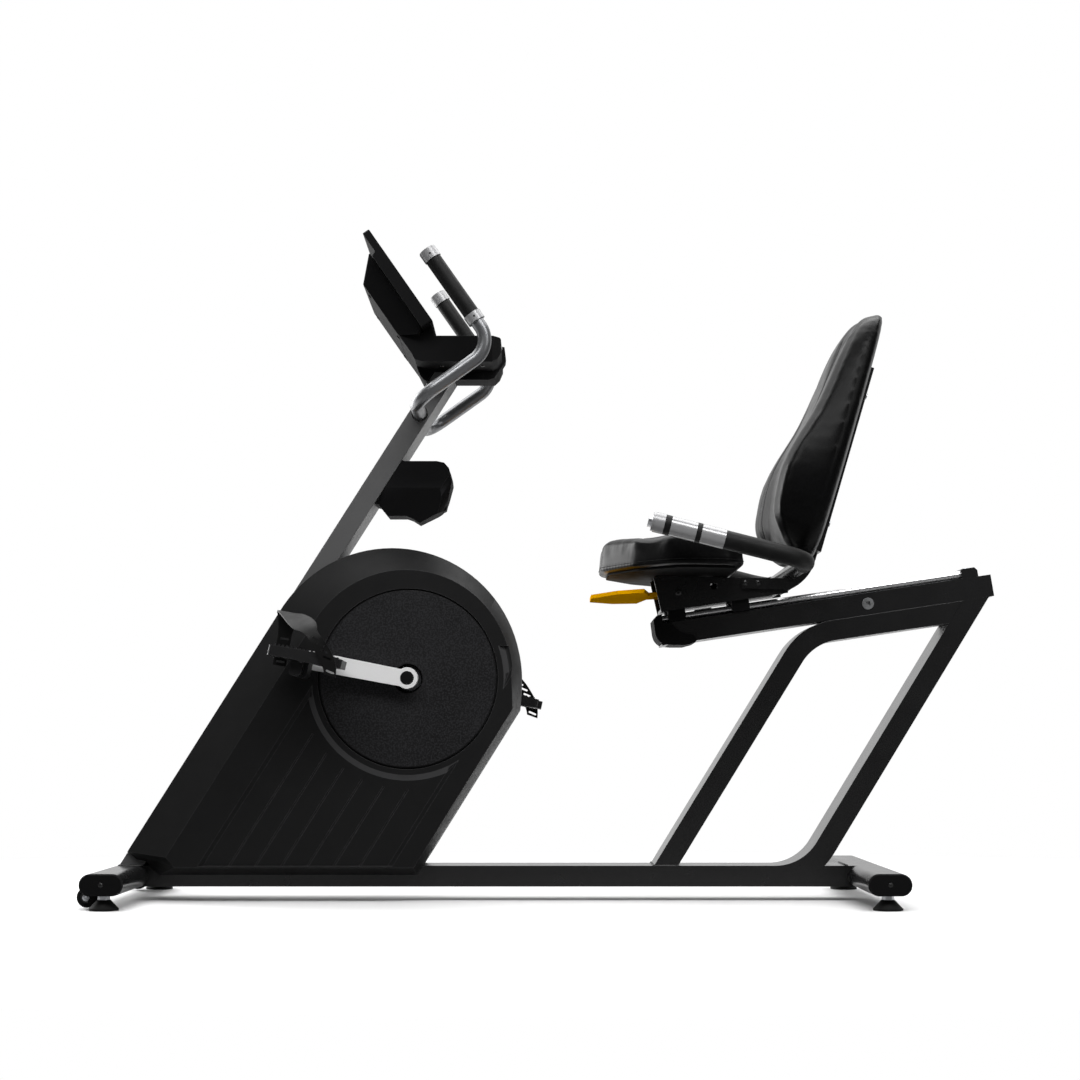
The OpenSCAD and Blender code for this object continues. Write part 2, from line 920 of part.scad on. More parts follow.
module display_glass() {
    color("#050608")
        on_screen()
            round_slab(-1.5, -0.2, screen_hw - 9.2, 9.2, screen_h - 9.2, 5.8);
}

// Moulded rear shell of the console: a shallow pyramid behind the screen
module console_shell() {
    color("#151516")
        difference() {
            on_screen()
                hull() {
                    round_slab(-25, -23.2, shell_hw + 20, 3, 174, 5, $fn = 24);
                    round_slab(-65, -63, shell_hw, -19, 137, 4, $fn = 24);
                }
            translate([-330, -200, 900])
                cube([300, 400, tray_z1 - 900 + 0.2]);
        }
}

// Open tray with a rounded front rim, for a bottle or a telephone
module accessory_tray() {
    color("#121213")
        difference() {
            union() {
                side_slab(-shell_hw, shell_hw)
                    polygon(concat([[-282, tray_z1], [-259, 1006], [-253, 994],
                                    [-240, tray_z0 + 0.5], [-223, tray_z0]],
                                   [[-110, tray_z0], [-100, tray_z0 + 7],
                                    [tray_x1, tray_z0 + 20]],
                                   arc([tray_x1 - 4, tray_z1 - 4], 4, 0, 90, 4)));
                // Ledge under the screen
                side_slab(-shell_hw, shell_hw)
                    polygon([[-245, tray_z1 - 1], [-214, tray_z1 - 1], [-217, 1048],
                             [-221.5, 1055.8], [-238, 1043.5]]);
            }
            both_sides()
                translate([-225, 2, tray_z0 + 6])
                    cube([119.5, 114, 60]);
            // Cut corners at the rear
            both_sides()
                translate([0, 0, tray_z0 - 1])
                    linear_extrude(60)
                        polygon([[-108, shell_hw + 0.1], [tray_x1 + 1, shell_hw - 23],
                                 [-60, shell_hw], [-60, shell_hw + 10],
                                 [-108, shell_hw + 10]]);
        }
}

// Cowl and bracket that hold the console on the mast
module console_pod() {
    color("#1a1a1b")
        difference() {
            union() {
                // Cowl in front of the mast
                side_slab(-half_w - 4, half_w + 4)
                    polygon([[-253.3, 993], [-250, 984], [-245.5, 975], [-240, 969],
                             [-235, 965.5], [-232, 966.5], [-218, tray_z0 - 0.4],
                             [-240, tray_z0 - 0.2]]);
                side_slab(-half_w, half_w)
                    polygon([[-236, mast_top - 6], [-176, mast_top - 6], [-172, tray_z0 - 0.2],
                             [-236, tray_z0 - 0.2]]);
                // Bracket behind the mast, its rear corners cut off
                intersection() {
                    side_slab(-half_w, half_w)
                        polygon([[-182, pod_floor], [-119.5, pod_floor], [-108, 977],
                                 [-87, 1009], [-86, 1018], [-88.5, 1038], [-93.2, 1039],
                                 [-93.2, tray_z0 + 19.8], [-99.6, tray_z0 + 6.6],
                                 [-109.8, tray_z0 - 0.3], [-190, tray_z0 - 0.3]]);
                    translate([0, 0, 900])
                        linear_extrude(200)
                            polygon([[-240, -pod_hw], [-127, -pod_hw], [-84, -14],
                                     [-84, 14], [-127, pod_hw], [-240, pod_hw]]);
                }
            }
            // Cable slot on each side
            side_slab(-60, 60)
                polygon([[-171, 977], [-161, 977], [-165, 985]]);
            intersection() {
                mast_body(0.4);
                translate([-400, -100, 900])
                    cube([400, 200, mast_top + 0.4 - 900]);
            }
        }
}

// ---------------------------------------------------------------- handlebar

// Two bent tubes, welded to the sides of the mast
module handlebar() {
    color("#5d5e61")
        both_sides()
            bent_tube(bar_points, bar_bend, bar_r, 2);
}

// A sleeve on the straight upper end of the handlebar, from s0 to s1 along it
module on_grip(s0, s1, r) {
    difference() {
        round_bar(bar_points[0] + grip_dir * s0, bar_points[0] + grip_dir * s1, r);
        round_bar(bar_points[0] - grip_dir * 5, bar_points[0] + grip_dir * 200, bar_r + fit);
    }
}

module handlebar_grips() {
    color("#161616")
        both_sides()
            on_grip(19, 143, 15);
}

// Aluminium end caps and collars
module grip_rings() {
    color("#b8babe")
        both_sides() {
            on_grip(0, 19, 16.7);
            on_grip(143, 160, 16.7);
            round_bar(bar_points[0] - grip_dir * 2, bar_points[0], 15.5);
        }
}

// ---------------------------------------------------------------- bottle holder

module bottle_holder() {
    color("#131313")
        difference() {
            intersection() {
                side_slab(-48, 48)
                    polygon([[-276, 815], [-215, 815], [-201, 812], [-192, 802], [-188, 788],
                             [-186.5, 776], [-198, 726], [-248, 700], [-262, 709], [-273, 713],
                             [-307, 713], [-324, 734], [-350, 740], [-300, 830]]);
                translate([-400, 0, 0])
                    rotate([90, 0, 90])
                        linear_extrude(400)
                            polygon([[-48, 900], [-48, 765], [-26, 697], [26, 697],
                                     [48, 765], [48, 900]]);
                leaning(mast_x0 + flat_w)
                    union() {
                        translate([0.2, -48, 700])
                            cube([80, 96, 500]);
                        for (s = [-1, 1])
                            translate([80, s * 14, 700])
                                cylinder(r = 34, h = 500);
                        translate([70, -14, 700])
                            cube([60, 28, 500]);
                        translate([80, -48, 700])
                            cube([10, 96, 500]);
                    }
            }
            leaning(mast_x0 + flat_w) {
                translate([55, 0, 915])
                    cylinder(r = 36.5, h = 200);
                translate([0, -5, 700])
                    cube([3, 10, 500]);
            }
        }
}

// ---------------------------------------------------------------- seat rail

module seat_rail() {
    color("#1b1b1d")
        on_rail()
            difference() {
                translate([0, -half_w, -rail_t])
                    cube([rail_l, tube_w, rail_t]);
                translate([-1, -half_w + tube_wall, -rail_t + tube_wall])
                    cube([rail_l - 4, tube_w - 2 * tube_wall, rail_t - 2 * tube_wall]);
                bar_along_y(plug_u, -rail_t / 2, plug_r + 0.1, -60, 60);
            }
}

// Round bushes in the rail's sides, each with a square hole
module rail_plug() {
    color("#4f5053")
        on_rail()
            both_sides()
                difference() {
                    bar_along_y(plug_u, -rail_t / 2, plug_r, half_w - 8, half_w + 1.2);
                    translate([plug_u - 4, half_w - 3, -rail_t / 2 - 4])
                        cube([8, 10, 8]);
                }
}

// Moulded nose of the rail: wraps its front end and holds the rods
module rail_nose_cap() {
    color("#161616")
        difference() {
            side_slab(-half_w - 4, half_w + 4)
                polygon(concat([[196, 524], [190, 516], [193, 491]],
                               arc([218, 494.4], 25, 190, 250, 5), [[226, 469.4], [250, 469.4]],
                               [[267, 474], [270, 478], [266, 489]],
                               arc([262, 535], 45, 262, 206, 8), [[206, 527]]));
            on_rail() {
                translate([-0.2, -half_w - 0.2, -rail_t - 0.2])
                    cube([rail_l, tube_w + 0.4, rail_t + 0.2]);
                translate([8, -80, 0])
                    cube([100, 160, 60]);
                for (y = [-rod_y, rod_y])
                    translate([-4, y, rod_w])
                        rotate([0, 90, 0])
                            cylinder(r = rod_r + fit, h = 40);
            }
        }
}

module guide_rods() {
    color("#dcdee0")
        on_rail()
            for (y = [-rod_y, rod_y])
                translate([-3, y, rod_w])
                    rotate([0, 90, 0])
                        cylinder(r = rod_r, h = rod_end);
}

// Block at the rear of the rail: holds the rods and stops the seat
module rod_stop() {
    color("#1c1c1d")
        on_rail()
            difference() {
                side_slab(-46, 46)
                    polygon([[stop_u, 0.1], [stop_u, 16], [stop_u + 2, 18], [stop_u + 26, 18],
                             [stop_u + 31, 12], [stop_u + 31, 0.1]]);
                for (y = [-rod_y, rod_y])
                    translate([stop_u - 1, y, rod_w])
                        rotate([0, 90, 0])
                            cylinder(r = rod_r + fit, h = rod_end - 2 - stop_u);
            }
}

// Flat steel strip between the rods, which the lock shoe grips
module lock_strip() {
    color("#77797c")
        on_rail()
            difference() {
                translate([24, -11, 0.1])
                    cube([536, 22, 6]);
                for (u = [36, 292, 548])
                    translate([u, 0, 4])
                        cylinder(r = 4.5, h = 10);
            }
}

// ---------------------------------------------------------------- crank

module crank_axle() {
    color("#a8aaad") {
        bar_along_y(crank_x, crank_z, axle_r, -100, 100);
        both_sides()
            bar_along_y(crank_x, crank_z, 8, 100, arm_out - 7);
    }
}

// Forged arm on the +Y side; its pedal eye is towards +X and below the axle
module crank_arm() {
    color("#e6e6e6")
        difference() {
            translate([crank_x, 0, crank_z])
                rotate([0, crank_angle, 0])
                    translate([-crank_x, 0, -crank_z]) {
                        bar_along_y(crank_x, crank_z, 19.5, arm_in - 4, arm_out);
                        bar_along_y(crank_x, crank_z, 16, 100.2, arm_in);
                        bar_along_y(crank_x + crank_l, crank_z, 17, arm_in, arm_out);
                        side_slab(arm_in, arm_out)
                            polygon([[crank_x + 4, crank_z - 14],
                                     [crank_x + crank_l, crank_z - 17],
                                     [crank_x + crank_l, crank_z + 17],
                                     [crank_x + 4, crank_z + 17]]);
                    }
            bar_along_y(crank_x, crank_z, 8 + fit, 90, 140);
            bar_along_y(crank_x, crank_z, 12.5, arm_out - 6, 140);
            bar_along_y(crank_x + pedal_dx, crank_z - pedal_dz, 7.1, 90, 140);
        }
}

// The left arm is the right one turned by half a turn about the upright axis of the shaft
module opposite_side() {
    translate([crank_x, 0, crank_z])
        rotate([0, 180, 0])
            mirror([0, 1, 0])
                translate([-crank_x, 0, -crank_z])
                    children();
}

module crank_arm_right() {
    crank_arm();
}

module crank_arm_left() {
    opposite_side()
        crank_arm();
}

module crank_caps() {
    color("#101010")
        both_sides() {
            bar_along_y(crank_x, crank_z, 12.4, arm_out - 6.5 + 0.6, arm_out);
            bar_along_y(crank_x, crank_z, 11, arm_out, arm_out + 1.2);
        }
}

module pedal_spindle() {
    x = crank_x + pedal_dx;
    z = crank_z - pedal_dz;
    bar_along_y(x, z, 7.05, arm_in, arm_out);
    bar_along_y(x, z, 9.5, arm_out, arm_out + 6);
    bar_along_y(x, z, 6.5, arm_out + 6, pedal_in - 3);
    bar_along_y(x, z, spindle_r, pedal_in - 3, pedal_out - 10);
}

module pedal_spindles() {
    color("#8b8d90") {
        pedal_spindle();
        opposite_side()
            pedal_spindle();
    }
}

// The frame of a pedal, on its spindle; side is -1 on the left and 1 on the right
module on_pedal(side) {
    translate([crank_x + side * pedal_dx, 0, crank_z - side * pedal_dz])
        rotate([0, pedal_tilt, 0])
            children();
}

// Plan of the pedal platform
module pedal_plan() {
    r = 7;
    for (x = [-62 + r, 62 - r], y = [pedal_in + r, pedal_out - r])
        translate([x, y])
            circle(r = r);
    translate([-62 + r, pedal_in])
        square([124 - 2 * r, pedal_out - pedal_in]);
    translate([-62, pedal_in + r])
        square([124, pedal_out - pedal_in - 2 * r]);
}

// Platform pedal with open windows, toothed edges and a balance weight below
module pedal() {
    color("#2d2e30")
        difference() {
            union() {
                difference() {
                    intersection() {
                        translate([0, 0, -30])
                            linear_extrude(60)
                                pedal_plan();
                        side_slab(pedal_in, pedal_out)
                            polygon([[-63, -8], [-21, -6.5], [20, -7], [63, -5], [63, 12],
                                     [20, 13.5], [-63, 10.5]]);
                    }
                    for (x = [-48, -28, 13, 34])
                        translate([x, pedal_in + 12, -40])
                            cube([13, pedal_out - pedal_in - 24, 80]);
                }
                // Rear block, a little below the platform
                translate([60, pedal_in + 10, -5])
                    cube([9.5, pedal_out - pedal_in - 20, 15]);
                bar_along_y(0, 0, 9, pedal_in, pedal_out);
                translate([-20, pedal_in + 8, -25])
                    cube([22, 76, 20]);
                for (x = [-12, -6])
                    bar_along_y(x, -26.5, 8, pedal_in + 8, pedal_in + 84);
                translate([-8, pedal_in + 8, -26])
                    cube([18, 60, 20]);
                bar_along_y(1, -26.5, 9, pedal_in + 8, pedal_in + 68);
                for (y = [pedal_in + 2, pedal_out - 6], i = [0:14])
                    translate([-54 + 7.4 * i, y, 10])
                        cube([3.4, 4, 5]);
            }
            bar_along_y(0, 0, spindle_r + fit, 0, pedal_out - 9);
            bar_along_y(0, 0, 6.8, 0, pedal_in + 3);
        }
}

module pedal_strap() {
    rows = smooth(strap_rows, 3);
    last = len(rows) - 1;
    rings = [for (i = [0:last])
        let (row = rows[i], a = rows[max(i - 1, 0)], b = rows[min(i + 1, last)])
        let (left = [row[1], row[0], row[2]], right = [row[3], row[0], row[4]])
        let (along = [b[1] + b[3] - a[1] - a[3], 2 * (b[0] - a[0]), b[2] + b[4] - a[2] - a[4]])
        let (out = unit(cross(along, right - left)) * strap_t / 2)
        [left + out, right + out, right - out, left - out]];
    color("#19191a")
        difference() {
            skin(rings);
            for (slot = strap_slots)
                translate([slot[0], slot[4], slot[1]])
                    rotate([0, slot[3], 0])
                        obround(0, 0, slot[2], 3.6, -7, 7);
        }
}

module pedal_right() {
    on_pedal(1)
        pedal();
}

module pedal_left() {
    on_pedal(-1)
        mirror([0, 1, 0])
            pedal();
}

module pedal_strap_right() {
    on_pedal(1)
        pedal_strap();
}

module pedal_strap_left() {
    on_pedal(-1)
        mirror([0, 1, 0])
            pedal_strap();
}

// ---------------------------------------------------------------- seat

// Two side plates joined by a deck over the bearing blocks
module seat_carriage() {
    color("#1a1a1b") {
        both_sides()
            difference() {
                side_slab(plate_out - 5, plate_out)
                    polygon([[204, 531], [190, 594], [195, 598.2], [353, 593.8], [420, 592],
                             [440, 574], [440, 566.3]]);
                bar_along_y(302, 579, 6.7, 40, 80);
                bar_along_y(lever_x, lever_z, 4 + fit, 40, 80);
            }
        on_rail()
            translate([8, -plate_out + 5, carriage_w])
                cube([220, 2 * plate_out - 10, 5]);
        side_slab(-plate_out + 5, plate_out - 5)
            polygon([[300, 588], [340, 588], [340, 592], [300, 592.5]]);
    }
}

// Four blocks that run on the rods
module bearing_blocks() {
    color("#141414")
        on_rail()
            for (u = [20, 140], s = [-1, 1])
                difference() {
                    translate([u, s > 0 ? 18 : -54.8, 1.2])
                        cube([32, 36.8, carriage_w - 1.2]);
                    translate([u - 1, s * rod_y, rod_w])
                        rotate([0, 90, 0])
                            cylinder(r = rod_r + fit, h = 40);
                }
}

// Plan of the seat, pulled in by inset
module seat_plan(inset) {
    hull() {
        for (s = [-1, 1]) {
            translate([136, s * 46])
                circle(r = 45 - inset, $fn = 32);
            translate([195, s * 135])
                circle(r = 58 - inset, $fn = 32);
            translate([250, s * (seat_hw - 66)])
                circle(r = 66 - inset, $fn = 64);
            translate([290, s * (seat_hw - 66)])
                circle(r = 56 - inset, $fn = 32);
        }
    }
}

module seat_pan() {
    color("#8a8b8d")
        translate([0, 0, pad_z - 4])
            linear_extrude(3.8)
                seat_plan(14);
}

// Cushion with upright sides, a rounded top edge, a crown and a raised front
module seat_pad() {
    color("#141414")
        hull() {
            // Height above the base and inset of each level
            for (level = [[0, 5], [5, 0], [49, 0], [55, 4], [58, 12], [61, 36]])
                translate([0, 0, pad_z + level[0]])
                    linear_extrude(1)
                        seat_plan(level[1]);
            translate([0, 0, pad_z + 64])
                linear_extrude(1)
                    intersection() {
                        seat_plan(18);
                        translate([90, -110])
                            square([50, 220]);
                    }
        }
}

module on_back() {
    translate([back_x, 0, back_z])
        rotate([0, back_tilt, 0])
            children();
}

// Curved side arms, bolted to the carriage, with the plate that carries the backrest
module seat_upright() {
    color("#1b1b1d") {
        both_sides()
            difference() {
                side_slab(plate_out + 0.2, plate_out + 6)
                    polygon(concat([[353, 574], [353, 593.5], [430, 593], [446, 600],
                                    [back_x - 31, 605.5], [back_x - 18, 613],
                                    [back_x - 9, 624], [back_x - 5.5, 637]],
                                   [[back_x + 12, back_z + 71], [back_x + 21, back_z + 71],
                                    [back_x, back_z]],
                                   arc([back_x - 80.4, 648.5], 83, -15, -72, 10),
                                   [[430, 572]]));
                bar_along_y(arm_x, arm_z, arm_r + fit, 40, 80);
                for (x = [360, 384])
                    bar_along_y(x, 584, 3.2, 40, 80);
            }
        on_back()
            difference() {
                translate([-9, -120, 10])
                    cube([9, 240, back_l - 10]);
                for (s = [-1, 1], z = [70, 320])
                    translate([-20, s * 80, z])
                        rotate([0, 90, 0])
                            cylinder(r = 4, h = 40);
            }
    }
}

// Backrest: a crowned form with two bolsters and a hollow between them
module backrest_pad() {
    rings = [for (row = smooth(back_rows, 2))
        let (z = row[0], w = back_hw * row[3])
        let (rear = back_x - 10 + (z - back_z) * tan(back_tilt))
        let (shoulder = max(row[1] + 26, rear - 26))
        [[rear, -w * 0.80, z], [rear - 8, -w * 0.95, z], [min(shoulder, rear - 12), -w, z],
         [row[1] + 8, -w * 0.93, z], [row[1], -w * 0.77, z], [row[1] + 4, -w * 0.58, z],
         [row[2], -w * 0.3, z], [row[2], w * 0.3, z],
         [row[1] + 4, w * 0.58, z], [row[1], w * 0.77, z], [row[1] + 8, w * 0.93, z],
         [min(shoulder, rear - 12), w, z], [rear - 8, w * 0.95, z], [rear, w * 0.80, z]]];
    color("#131313")
        skin(reversed([for (ring = rings) reversed(ring)]));
}

// ---------------------------------------------------------------- side handles

// A point on the left arm, s along it from the corner
function arm_at(s) = [arm_x, -handle_y, arm_z] + arm_dir * s;

// One bent tube: both arms and the bar across the bike
module side_handles() {
    right = [[arm_x, handle_y, arm_z], [arm_x, handle_y, arm_z] + arm_dir * arm_l];
    color("#1a1a1b")
        bent_tube(concat([arm_at(arm_l), arm_at(0)], right), arm_bend, arm_r, 2);
}

module on_arm(s0, s1, r) {
    difference() {
        round_bar(arm_at(s0), arm_at(s1), r);
        round_bar(arm_at(s0 - 5), arm_at(s1 + 5), arm_r + fit);
    }
}

// Rubber sleeves over the rear of each arm and its bend, and the rings between the plates
module handle_sleeves() {
    corner = [arm_x, -handle_y, arm_z];
    route = [arm_at(149.5), corner, corner + [0, arm_bend + 14, 0]];
    color("#151515")
        both_sides() {
            difference() {
                bent_bar(route, arm_bend, sleeve_r);
                bent_bar(past_ends(route, 5), arm_bend, arm_r + fit, 0.1);
            }
            on_arm(192.2, 200.8, 17.8);
            on_arm(247.2, 258, 17.8);
        }
}

// Steel contact plates
module pulse_plates() {
    color("#c9cbce")
        both_sides() {
            on_arm(149.7, 192, 17.4);
            on_arm(201, 247, 17.4);
        }
}

// Aluminium end caps with a bore for the button
module handle_caps() {
    color("#b4b6b9")
        both_sides()
            difference() {
                union() {
                    round_bar(arm_at(258.2), arm_at(276), 18);
                    round_bar(arm_at(276), arm_at(280), 16.5);
                }
                round_bar(arm_at(250), arm_at(276.1), arm_r + fit);
                round_bar(arm_at(250), arm_at(290), 11 + 0.06);
            }
}

module handle_button() {
    color("#3a3a3c")
        difference() {
            round_bar(arm_at(268), arm_at(287), 11);
            round_bar(arm_at(260), arm_at(283), 9);
        }
}

module handle_button_left() {
    handle_button();
}

module handle_button_right() {
    mirror([0, 1, 0])
        handle_button();
}

// ---------------------------------------------------------------- seat lock

// Wide release paddle under the front of the seat, on a cross pin in the carriage
module seat_lever() {
    color("#f7a400") {
        translate([lever_x, 0, lever_z])
            rotate([0, -2.5, 0])
                translate([0, 0, -4])
                    linear_extrude(7)
                        polygon([[-162, -52], [-162, 52], [-116, 128], [-68, 146], [-64, 118],
                                 [-54, 46], [0, 46], [0, 30], [-44, 24], [-44, -24],
                                 [0, -30], [0, -46], [-54, -46], [-64, -118], [-68, -146],
                                 [-116, -128]]);
        for (y = [-46, 30])
            bar_along_y(lever_x, lever_z, 8, y, y + 16);
        bar_along_y(lever_x, lever_z, 4, -plate_out, plate_out);
    }
}

// Ribbed shoe that rests on the strip and lifts off it with the paddle
module lock_shoe() {
    color("#77797c")
        on_rail()
            difference() {
                side_slab(-10, 10)
                    polygon([[62, 6.15], [116, 6.15], [116, 10], [104, 18], [74, 18],
                             [62, 10]]);
                for (u = [66:6:112])
                    translate([u, -12, 5])
                        cube([2, 24, 2.2]);
            }
}

// ---------------------------------------------------------------- assembly

module placed() {
    translate([origin_x, 0, 0])
        children();
}

placed() {
    main_tube();
    front_leg();
    front_stabilizer();
    rear_stabilizer();
    stabilizer_caps();
    foot_pads();
    foot_studs();
    wheel_axles();
    transport_wheel_left();
    transport_wheel_right();
    mast();
    drive_bracket();
    drive_bearings();
    drive_belt();
    housing_left();
    housing_right();
    disc_cover_left();
    disc_cover_right();
    console_pod();
    console_shell();
    display_panel();
    display_glass();
    accessory_tray();
    handlebar();
    handlebar_grips();
    grip_rings();
    bottle_holder();
    seat_rail();
    rail_nose_cap();
    guide_rods();
    rod_stop();
    lock_strip();
    rail_plug();
    crank_axle();
    crank_arm_left();
    crank_arm_right();
    crank_caps();
    drive_pulley();
    pedal_spindles();
    pedal_left();
    pedal_right();
    pedal_strap_left();
    pedal_strap_right();
    flywheel();
    flywheel_shaft();
    brake_yoke();
    seat_carriage();
    bearing_blocks();
    seat_pan();
    seat_pad();
    seat_upright();
    backrest_pad();
    side_handles();
    handle_sleeves();
    pulse_plates();
    handle_caps();
    seat_lever();
    lock_shoe();
    handle_button_left();
    handle_button_right();
}
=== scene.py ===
"""Finish, soft goods and small fittings of a recumbent exercise bike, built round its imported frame.

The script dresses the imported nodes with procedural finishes, replaces the plain cushions and straps by
modelled ones, adds the fasteners, seams and trims, and sets a plain studio round the bike. Lengths are in
metres. +Z is up, +X runs from the crank to the seat, and the rider's left is -Y.
"""
import logging
import math
from dataclasses import dataclass, field
from enum import Enum
from typing import Callable, Optional, Sequence

import bmesh
import bpy
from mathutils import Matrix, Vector
from mathutils.bvhtree import BVHTree
from mathutils.kdtree import KDTree


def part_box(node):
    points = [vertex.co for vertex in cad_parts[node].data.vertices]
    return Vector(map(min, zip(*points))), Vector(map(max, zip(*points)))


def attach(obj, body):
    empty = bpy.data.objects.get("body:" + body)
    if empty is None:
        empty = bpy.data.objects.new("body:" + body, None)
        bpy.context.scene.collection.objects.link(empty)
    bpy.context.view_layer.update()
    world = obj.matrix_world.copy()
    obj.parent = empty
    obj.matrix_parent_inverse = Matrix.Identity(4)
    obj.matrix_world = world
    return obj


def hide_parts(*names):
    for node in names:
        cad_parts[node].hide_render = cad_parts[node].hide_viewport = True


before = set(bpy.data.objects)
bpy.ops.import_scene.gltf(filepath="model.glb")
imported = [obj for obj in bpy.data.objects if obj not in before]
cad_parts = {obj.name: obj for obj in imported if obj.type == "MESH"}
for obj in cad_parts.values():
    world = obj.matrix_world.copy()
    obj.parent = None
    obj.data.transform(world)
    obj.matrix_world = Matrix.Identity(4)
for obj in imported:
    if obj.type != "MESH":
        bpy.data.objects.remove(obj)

LOG = logging.getLogger("bike")
MM = 0.001
LEAN = math.radians(32)
RAIL_TILT = math.radians(8.5)
BACK_TILT = math.radians(16.8)
SCREEN_TILT = math.radians(34.7)
SMOOTH_LIMIT = math.radians(32)
Colour = tuple[float, float, float]
Point = tuple[float, float, float]


# ------------------------------------------------------------------------------------------- finishes

class Graph:
    """A material's node tree, with short calls to add and link its nodes."""

    def __init__(self, name: str) -> None:
        """Makes the material with one Principled shader and object coordinates.

        Args:
            name: The material's name.
        """
        self.material = bpy.data.materials.new(name)
        self.material.use_nodes = True
        self.tree = self.material.node_tree
        self.tree.nodes.clear()
        self.output = self.tree.nodes.new("ShaderNodeOutputMaterial")
        self.shader = self.tree.nodes.new("ShaderNodeBsdfPrincipled")
        self.tree.links.new(self.shader.outputs["BSDF"], self.output.inputs["Surface"])
        self.coords = self.tree.nodes.new("ShaderNodeTexCoord").outputs["Object"]

    def add(self, kind: str, settings: Optional[dict] = None, **inputs) -> bpy.types.Node:
        """Adds a node.

        Args:
            kind: The node's type, without the leading "ShaderNode".
            settings: Properties of the node itself.
            **inputs: Sockets by name, with underscores for spaces; a value, or a socket to link.

        Returns:
            The new node.
        """
        node = self.tree.nodes.new("ShaderNode" + kind)
        for key, value in (settings or {}).items():
            setattr(node, key, value)
        for key, value in inputs.items():
            self.feed(node.inputs[key.replace("_", " ")], value)
        return node

    def feed(self, socket: bpy.types.NodeSocket, value) -> None:
        """Links a socket to another, or sets its value."""
        if isinstance(value, bpy.types.NodeSocket):
            self.tree.links.new(value, socket)
        elif isinstance(value, (tuple, list)) and socket.type == "RGBA" and len(value) == 3:
            socket.default_value = (*value, 1.0)
        else:
            socket.default_value = value

    def painted_edge_highlight(self, radius: float) -> bpy.types.NodeSocket:
        """Returns how far a point lies on an edge, where a painted highlight lightens the colour: 0 to 1."""
        soft = self.add("Bevel", {"samples": 4}, Radius=radius)
        facing = self.add("VectorMath", {"operation": "DOT_PRODUCT"})
        self.feed(facing.inputs[0], soft.outputs["Normal"])
        self.feed(facing.inputs[1], self.add("NewGeometry").outputs["True Normal"])
        return self.ramp(facing.outputs["Value"], 0.998, 0.95)

    def principled(self, **inputs) -> None:
        """Sets or links sockets of the Principled shader, named as in add()."""
        for key, value in inputs.items():
            self.feed(self.shader.inputs[key.replace("_", " ")], value)

    def noise(self, scale: float, detail: float = 2.0, stretch: Point = (1, 1, 1),
              roughness: float = 0.5) -> bpy.types.NodeSocket:
        """Adds a noise over the object.

        Args:
            scale: Features per metre.
            detail: Octaves.
            stretch: Factor on each axis before the noise.
            roughness: Strength of the finer octaves.

        Returns:
            The noise's value, from 0 to 1.
        """
        vector = self.coords
        if stretch != (1, 1, 1):
            vector = self.add("Mapping", Vector=self.coords, Scale=stretch).outputs["Vector"]
        return self.add("TexNoise", Vector=vector, Scale=scale, Detail=detail,
                        Roughness=roughness).outputs["Fac"]

    def ramp(self, value: bpy.types.NodeSocket, low: float, high: float,
             out_low: float = 0.0, out_high: float = 1.0) -> bpy.types.NodeSocket:
        """Maps a value from low..high to out_low..out_high, clamped at both ends."""
        node = self.add("MapRange", {"clamp": True}, Value=value)
        for key, number in (("From Min", low), ("From Max", high), ("To Min", out_low), ("To Max", out_high)):
            node.inputs[key].default_value = number
        return node.outputs["Result"]

    def math(self, operation: str, a, b=0.0) -> bpy.types.NodeSocket:
        """Adds a Math node on two values or sockets."""
        node = self.add("Math", {"operation": operation})
        self.feed(node.inputs[0], a)
        self.feed(node.inputs[1], b)
        return node.outputs["Value"]

    def blend(self, factor: bpy.types.NodeSocket, first: Colour, second: Colour) -> bpy.types.NodeSocket:
        """Mixes two colours by a factor."""
        node = self.add("Mix", {"data_type": "RGBA"})
        self.feed(node.inputs["Factor"], factor)
        self.feed(node.inputs[6], first)
        self.feed(node.inputs[7], second)
        return node.outputs[2]

    def bump(self, height: bpy.types.NodeSocket, depth: float, strength: float = 1.0,
             normal: Optional[bpy.types.NodeSocket] = None) -> bpy.types.NodeSocket:
        """Turns a height into a normal.

        Args:
            height: The height, from 0 to 1.
            depth: The height in metres that 1 stands for.
            strength: Share of the effect.
            normal: A normal to add to.

        Returns:
            The new normal.
        """
        node = self.add("Bump", Height=height, Distance=depth, Strength=strength)
        if normal is not None:
            self.feed(node.inputs["Normal"], normal)
        return node.outputs["Normal"]


def scaled(colour: Colour, factor: float) -> Colour:
    """Returns the colour times a factor."""
    return tuple(channel * factor for channel in colour)


@dataclass(frozen=True)
class PowderCoat:
    """Baked powder coat on steel, with a fine orange peel."""

    name: str
    colour: Colour
    roughness: float = 0.36
    peel: float = 620.0
    peel_depth: float = 0.003 * MM
    specular: float = 0.5

    def build(self) -> bpy.types.Material:
        """Builds the finish and returns its material."""
        g = Graph(self.name)
        cloud = g.ramp(g.noise(9, 5), 0.3, 0.7)
        g.principled(
            Base_Color=g.blend(cloud, scaled(self.colour, 0.92), scaled(self.colour, 1.1)),
            Roughness=g.ramp(g.noise(24, 2), 0.25, 0.75, self.roughness - 0.015, self.roughness + 0.02),
            Specular_IOR_Level=self.specular,
            Normal=g.bump(g.noise(self.peel, 2), self.peel_depth, 0.6),
        )
        return g.material


